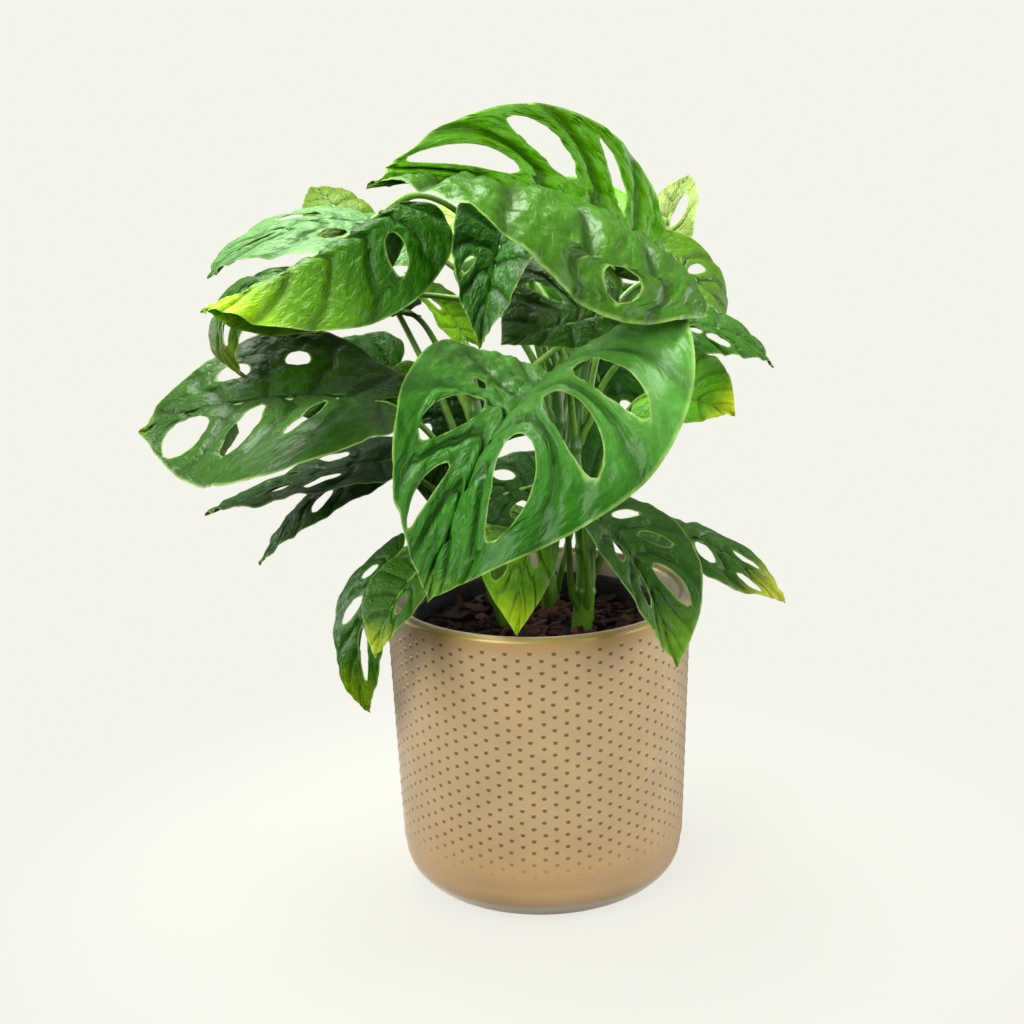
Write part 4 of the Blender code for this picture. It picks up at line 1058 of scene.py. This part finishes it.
def leaf_colours(name, a, side, v, veins, edge, seed):
    """Upper and under colour of each point: its half's colour, blended with base, tip and the margin's
    painted highlight, times the painted shade along the veins and midrib.
    """
    look = LOOKS[name]
    own = np.random.default_rng(seed)
    blotch = own.uniform(0, math.tau, 4)
    uneven = 0.08 * np.sin(9 * a + blotch[0]) * np.sin(7 * v + 3 * side + blotch[1])
    near = np.abs(veins - np.round(veins))
    # painted shade: darker along each side vein where the quilting dips, a little lighter on the bulge tops,
    # and darker in the midrib's groove
    crease = 0.52 + 0.58 * smooth_step(0.0, 0.2, near) * (1 - 0.12 * smooth_step(0.25, 0.5, near))
    rib = 0.5 * (1 - smooth_step(0.0, 0.05, v))
    crease = (1 + math.sqrt(look.get("quilt", 1.0)) * (crease - 1) * (1 - 0.45 * v)) * (1 - rib)

    def blend(colour, other, amount):
        return colour + (np.array(linear(other)) - colour) * amount[:, None]

    tones = []
    for key in ("upper", "under"):
        colour = np.broadcast_to(linear(look[key]), (len(a), 3)).copy()
        # painted light: the far half of a leaf lit from behind, in its "other" colour
        if "other" in look:
            colour = blend(colour, look["other"], 0.9 * (side < 0) * smooth_step(0.0, 0.12, v))
        if "base_tone" in look:
            colour = blend(colour, look["base_tone"], 1 - smooth_step(0.2, 0.6, a))
        tip = look.get("tip", "#7FA83A")
        reach = smooth_step(0.62, 1.0, a) if "tip" in look else 0.35 * smooth_step(0.88, 1.0, a)
        colour = blend(colour, tip, reach)
        # painted highlight: a thin pale line along the edge where the rim catches light; on curl and frill it
        # is yellower, where the edge has also dried
        margin = look.get("margin", "#9FBF62")
        strength = 0.75 if "margin" in look else 0.5
        colour = blend(colour, margin, strength * (1 - smooth_step(0.1 * MM, 0.7 * MM, edge)))
        tones.append(colour * (1 + uneven)[:, None] * crease[:, None])
    return tones


# %% [markdown]
# ## Fresh leaf material
#
# A monstera blade is a waxy skin over soft green tissue. The wax gives a soft, greenish sheen, so the
# material has a middling roughness, a thin coat and a tinted reflection, and light scatters a little inside.
# The veins come from the piece's own UV map, whose x counts the side veins and whose y runs along them. A
# line at each whole number is a side vein, and a stretched cell pattern between them is the fine net, about
# 2 mm across on the real leaf.

# %% Leaf and petiole materials
green, tree, shader = new_material(
    "waxy_monstera_leaf", Roughness=0.42, IOR=1.40, Coat_Weight=0.08, Coat_Roughness=0.2,
    Specular_IOR_Level=0.36, Specular_Tint=opaque("#CDF0BE"), Subsurface_Weight=0.15,
    Subsurface_Radius=(0.5, 1.0, 0.15), Subsurface_Scale=1.2 * MM
)
tint, place = tint_and_place(tree)
chart = add_node(tree, "ShaderNodeUVMap", {"uv_map": "UVMap"}).outputs["UV"]
split = add_node(tree, "ShaderNodeSeparateXYZ", {}, {"Vector": chart})
wobble = noise(tree, place, Scale=120.0, Detail=2.0)
strayed = worked(tree, "MULTIPLY_ADD", wobble, 0.12, split.outputs["X"])
side_vein = mapped(tree, worked(tree, "PINGPONG", strayed, 0.5), 0.01, 0.07, 1.0, 0.0, smooth=True)
midrib = mapped(tree, split.outputs["Y"], 0.012, 0.05, 1.0, 0.0, smooth=True)
fading = mapped(tree, split.outputs["Y"], 0.5, 1.0, 1.0, 0.25)
vein = worked(tree, "MAXIMUM", worked(tree, "MULTIPLY", side_vein, fading), midrib)
net = add_node(tree, "ShaderNodeTexVoronoi", {"feature": "DISTANCE_TO_EDGE", "Scale": 1.0},
               {"Vector": stretched(tree, chart, (5.0, 14.0, 1.0))})
net_line = mapped(tree, net.outputs["Distance"], 0.0, 0.18, 0.0, 1.0)
mottle = noise(tree, place, Scale=260.0, Detail=4.0)
toned = toned_by(tree, tint, mapped(tree, mottle, 0.3, 0.7, 0.86, 1.16))
paler = add_node(tree, "ShaderNodeVectorMath", {"operation": "MULTIPLY_ADD", 1: (1.5, 1.25, 1.5)}, {0: toned})
paler.inputs[2].default_value = (0.03, 0.06, 0.015)
soft_vein = worked(tree, "MULTIPLY", vein, 0.18)
ribbed = add_node(tree, "ShaderNodeMix", {"data_type": "RGBA"}, {"Factor": soft_vein})
tree.links.new(toned, ribbed.inputs["A"])
tree.links.new(paler.outputs["Vector"], ribbed.inputs["B"])
height = worked(tree, "SUBTRACT", worked(tree, "MULTIPLY", net_line, 0.3), vein)
pucker_place = stretched(tree, chart, (7.0, 9.0, 1.0))
pucker = noise(tree, pucker_place, Scale=1.0, Detail=3.0, Roughness=0.55, Distortion=0.4)
puckered = embossed(tree, pucker, 0.9, 1.4 * MM, Normal=embossed(tree, height, 0.7, 0.4 * MM))
wax = mapped(tree, mottle, 0.3, 0.7, 0.33, 0.46)
drive(tree, shader, ribbed.outputs["Result"], wax, puckered)

stalk, tree, shader = new_material("fresh_monstera_stalk", Roughness=0.42, IOR=1.42, Coat_Weight=0.1)
tint, place = tint_and_place(tree)
streak = noise(tree, stretched(tree, place, (900.0, 900.0, 90.0)), Scale=1.0, Detail=3.0)
toned = toned_by(tree, tint, mapped(tree, streak, 0.3, 0.7, 0.75, 1.2))
drive(tree, shader, toned, None, embossed(tree, streak, 0.4, 0.1 * MM))
print("materials:", ", ".join(m.name for m in bpy.data.materials if m.users))

# %% [markdown]
# ## Stems and petioles
#
# Stems and petioles are round, so each is a tube: a circle carried along a path, turned as little as
# possible on the way. A petiole bows up from beside its stem and thickens into a knuckle where the blade
# starts, then runs on under the blade as its raised midrib, so leaf and stalk are one plant part.

# %% Tubes
HEEL_R = 1.45 * 1.35
CLEARANCE = 0.3
RIB_END, RIB_STEPS = 0.8, 26


def tube(path, radii, sides):
    """A circle round each path point: centre + r (cos t side + sin t up), closed at both ends."""
    along = unit(np.gradient(path, axis=0))
    side = np.cross(along, (0.13, 0.24, 0.96))
    side = unit(side)
    up = np.cross(along, side)
    t = math.tau * np.arange(sides) / sides
    ring = side[:, None] * np.cos(t)[:, None] + up[:, None] * np.sin(t)[:, None]
    points = path[:, None] + ring * np.asarray(radii)[:, None, None]
    ends = np.broadcast_to(path[:1, None], (1, sides, 3)), np.broadcast_to(path[-1:, None], (1, sides, 3))
    return tidy(*grid_sheet(np.concatenate([ends[0], points, ends[1]]), wrap=True))


def stem_path(key, samples):
    """The stem's route above the mix as one smooth curve."""
    spans = len(STEMS[key]["route"]) - 1
    path = through(STEMS[key]["route"], np.linspace(0, spans, samples)) * MM
    path[:, 2] += MIX_TOP + CLEARANCE * MM
    return path


def petiole_path(leaf, notch, backward):
    """A cubic Bezier curve from the notch, back along the midrib, to beside its stem, then into the stem."""
    path = stem_path(leaf["stem"], 41)
    level = MIX_TOP + leaf["at"] * MM
    centre = np.array([np.interp(level, path[:, 2], path[:, k]) for k in range(3)])
    away = notch - centre
    away[2] = 0
    away = unit(away)
    foot = centre + away * (STEMS[leaf["stem"]]["foot"] + HEEL_R + CLEARANCE) * MM
    chord = np.linalg.norm(notch - foot)
    climb = unit(np.array([0, 0, 1.0]) + leaf["splay"] * away)
    bow = foot + climb * chord * 0.38
    neck = notch + backward * chord * leaf["neck"]
    t = np.linspace(0, 1, 40)[:, None]
    curve = (1 - t) ** 3 * notch + 3 * t * (1 - t) ** 2 * neck + 3 * t**2 * (1 - t) * bow + t**3 * foot
    heel = foot - away * 3.2 * MM - np.array([0, 0, 5 * MM])
    deeper = heel - away * 1.5 * MM - np.array([0, 0, 6 * MM])
    return np.vstack([curve, heel, deeper])


def petiole(leaf):
    """The midrib's underside, the knuckle at the notch and the stalk down to the stem, as one tube."""
    share = np.linspace(RIB_END, 0.0, RIB_STEPS)
    middle = np.zeros(RIB_STEPS)
    rib = blade_place(leaf, share, middle)
    ahead = blade_place(leaf, share + 0.01, middle) - blade_place(leaf, share - 0.01, middle)
    across = blade_place(leaf, share, middle + 0.02) - rib
    down = -unit(np.cross(ahead, across))
    rib_r = (0.35 + 0.95 * (1 - share / RIB_END) ** 1.3) * MM
    spine = rib + down * (rib_r * 0.55)[:, None]
    curve = petiole_path(leaf, spine[-1], -unit(ahead[-1]))
    path = np.vstack([spine[:-1], curve])
    t = np.linspace(0, 1, len(curve))
    stalk_r = (1.28 + 0.55 * t**2 + 0.45 * np.exp(-(((t - 0.05) / 0.045) ** 2))) * MM
    stalk_r[-2:] = 2.1 * MM, 1.6 * MM
    return tube(path, np.concatenate([rib_r[:-1], stalk_r]), 10)


def stalk_colours(points, low, high):
    """Brighter green above, darker towards the pot."""
    share = smooth_step(MIX_TOP, MIX_TOP + 90 * MM, points[:, 2])[:, None]
    return np.array(linear(low)) * (1 - share) + np.array(linear(high)) * share


# %% Build the stems
for key, own in STEMS.items():
    path = stem_path(key, 150)
    path = np.vstack([path[:1] - (0, 0, 6 * MM), path])
    share = np.linspace(0, 1, len(path))
    knots = 0.13 * np.maximum(0, np.cos(math.tau * share * 6)) ** 10
    waist = 0.03 * np.sin(math.tau * share * 3 + 1)
    radii = (own["foot"] + (own["top"] - own["foot"]) * share) * (1 + knots + waist) * MM
    stem = tube(path, radii, 24)
    add_piece(f"stem_{key}_skin", *stem, stalk, "stem", [f"stem_{key}"],
              colour=stalk_colours(stem[0], "#5C8A1C", "#3C6A14"))

# %% Build the leaves
BIG = ("crown", "front", "arch", "wing", "curl", "silver")
BIG_GRID, SMALL_GRID = (128, 40), (88, 28)
for seed, name in enumerate(LEAVES):
    look = LOOKS[name]
    leaf = {**PLAIN_LEAF, **LEAVES[name], "ripple": look["ripple"], "quilt": look.get("quilt", 1.0)}
    if "rim" in leaf:
        bearing, outside, height = leaf["rim"]
        reach, bearing = RIM_R + outside * MM, math.radians(bearing)
        leaf["base"] = np.array([reach * math.cos(bearing), reach * math.sin(bearing), MIX_TOP + height * MM])
    else:
        leaf["base"] = np.array(leaf["base"]) * MM + (0, 0, MIX_TOP)
    leaf["grid"] = BIG_GRID if name in BIG else SMALL_GRID
    sheet, triangles, a, b, v, veins, side, edge = blade_sheet(leaf, seed)
    upper, under = leaf_colours(name, a, side, v, veins, edge, seed)
    both, skin = give_thickness(sheet, triangles, edge)
    chart = np.column_stack([veins + 20 * (side < 0), v])
    add_piece(f"blade_{name}", both, skin, green, "leaf", [f"leaf_{name}"],
              colour=np.vstack([upper, under]), uv=np.vstack([chart, chart]))
    rod = petiole(leaf)
    add_piece(f"petiole_{name}", *rod, stalk, "leaf", [f"leaf_{name}"],
              colour=stalk_colours(rod[0], "#4C7A1C", "#6C9A34"))
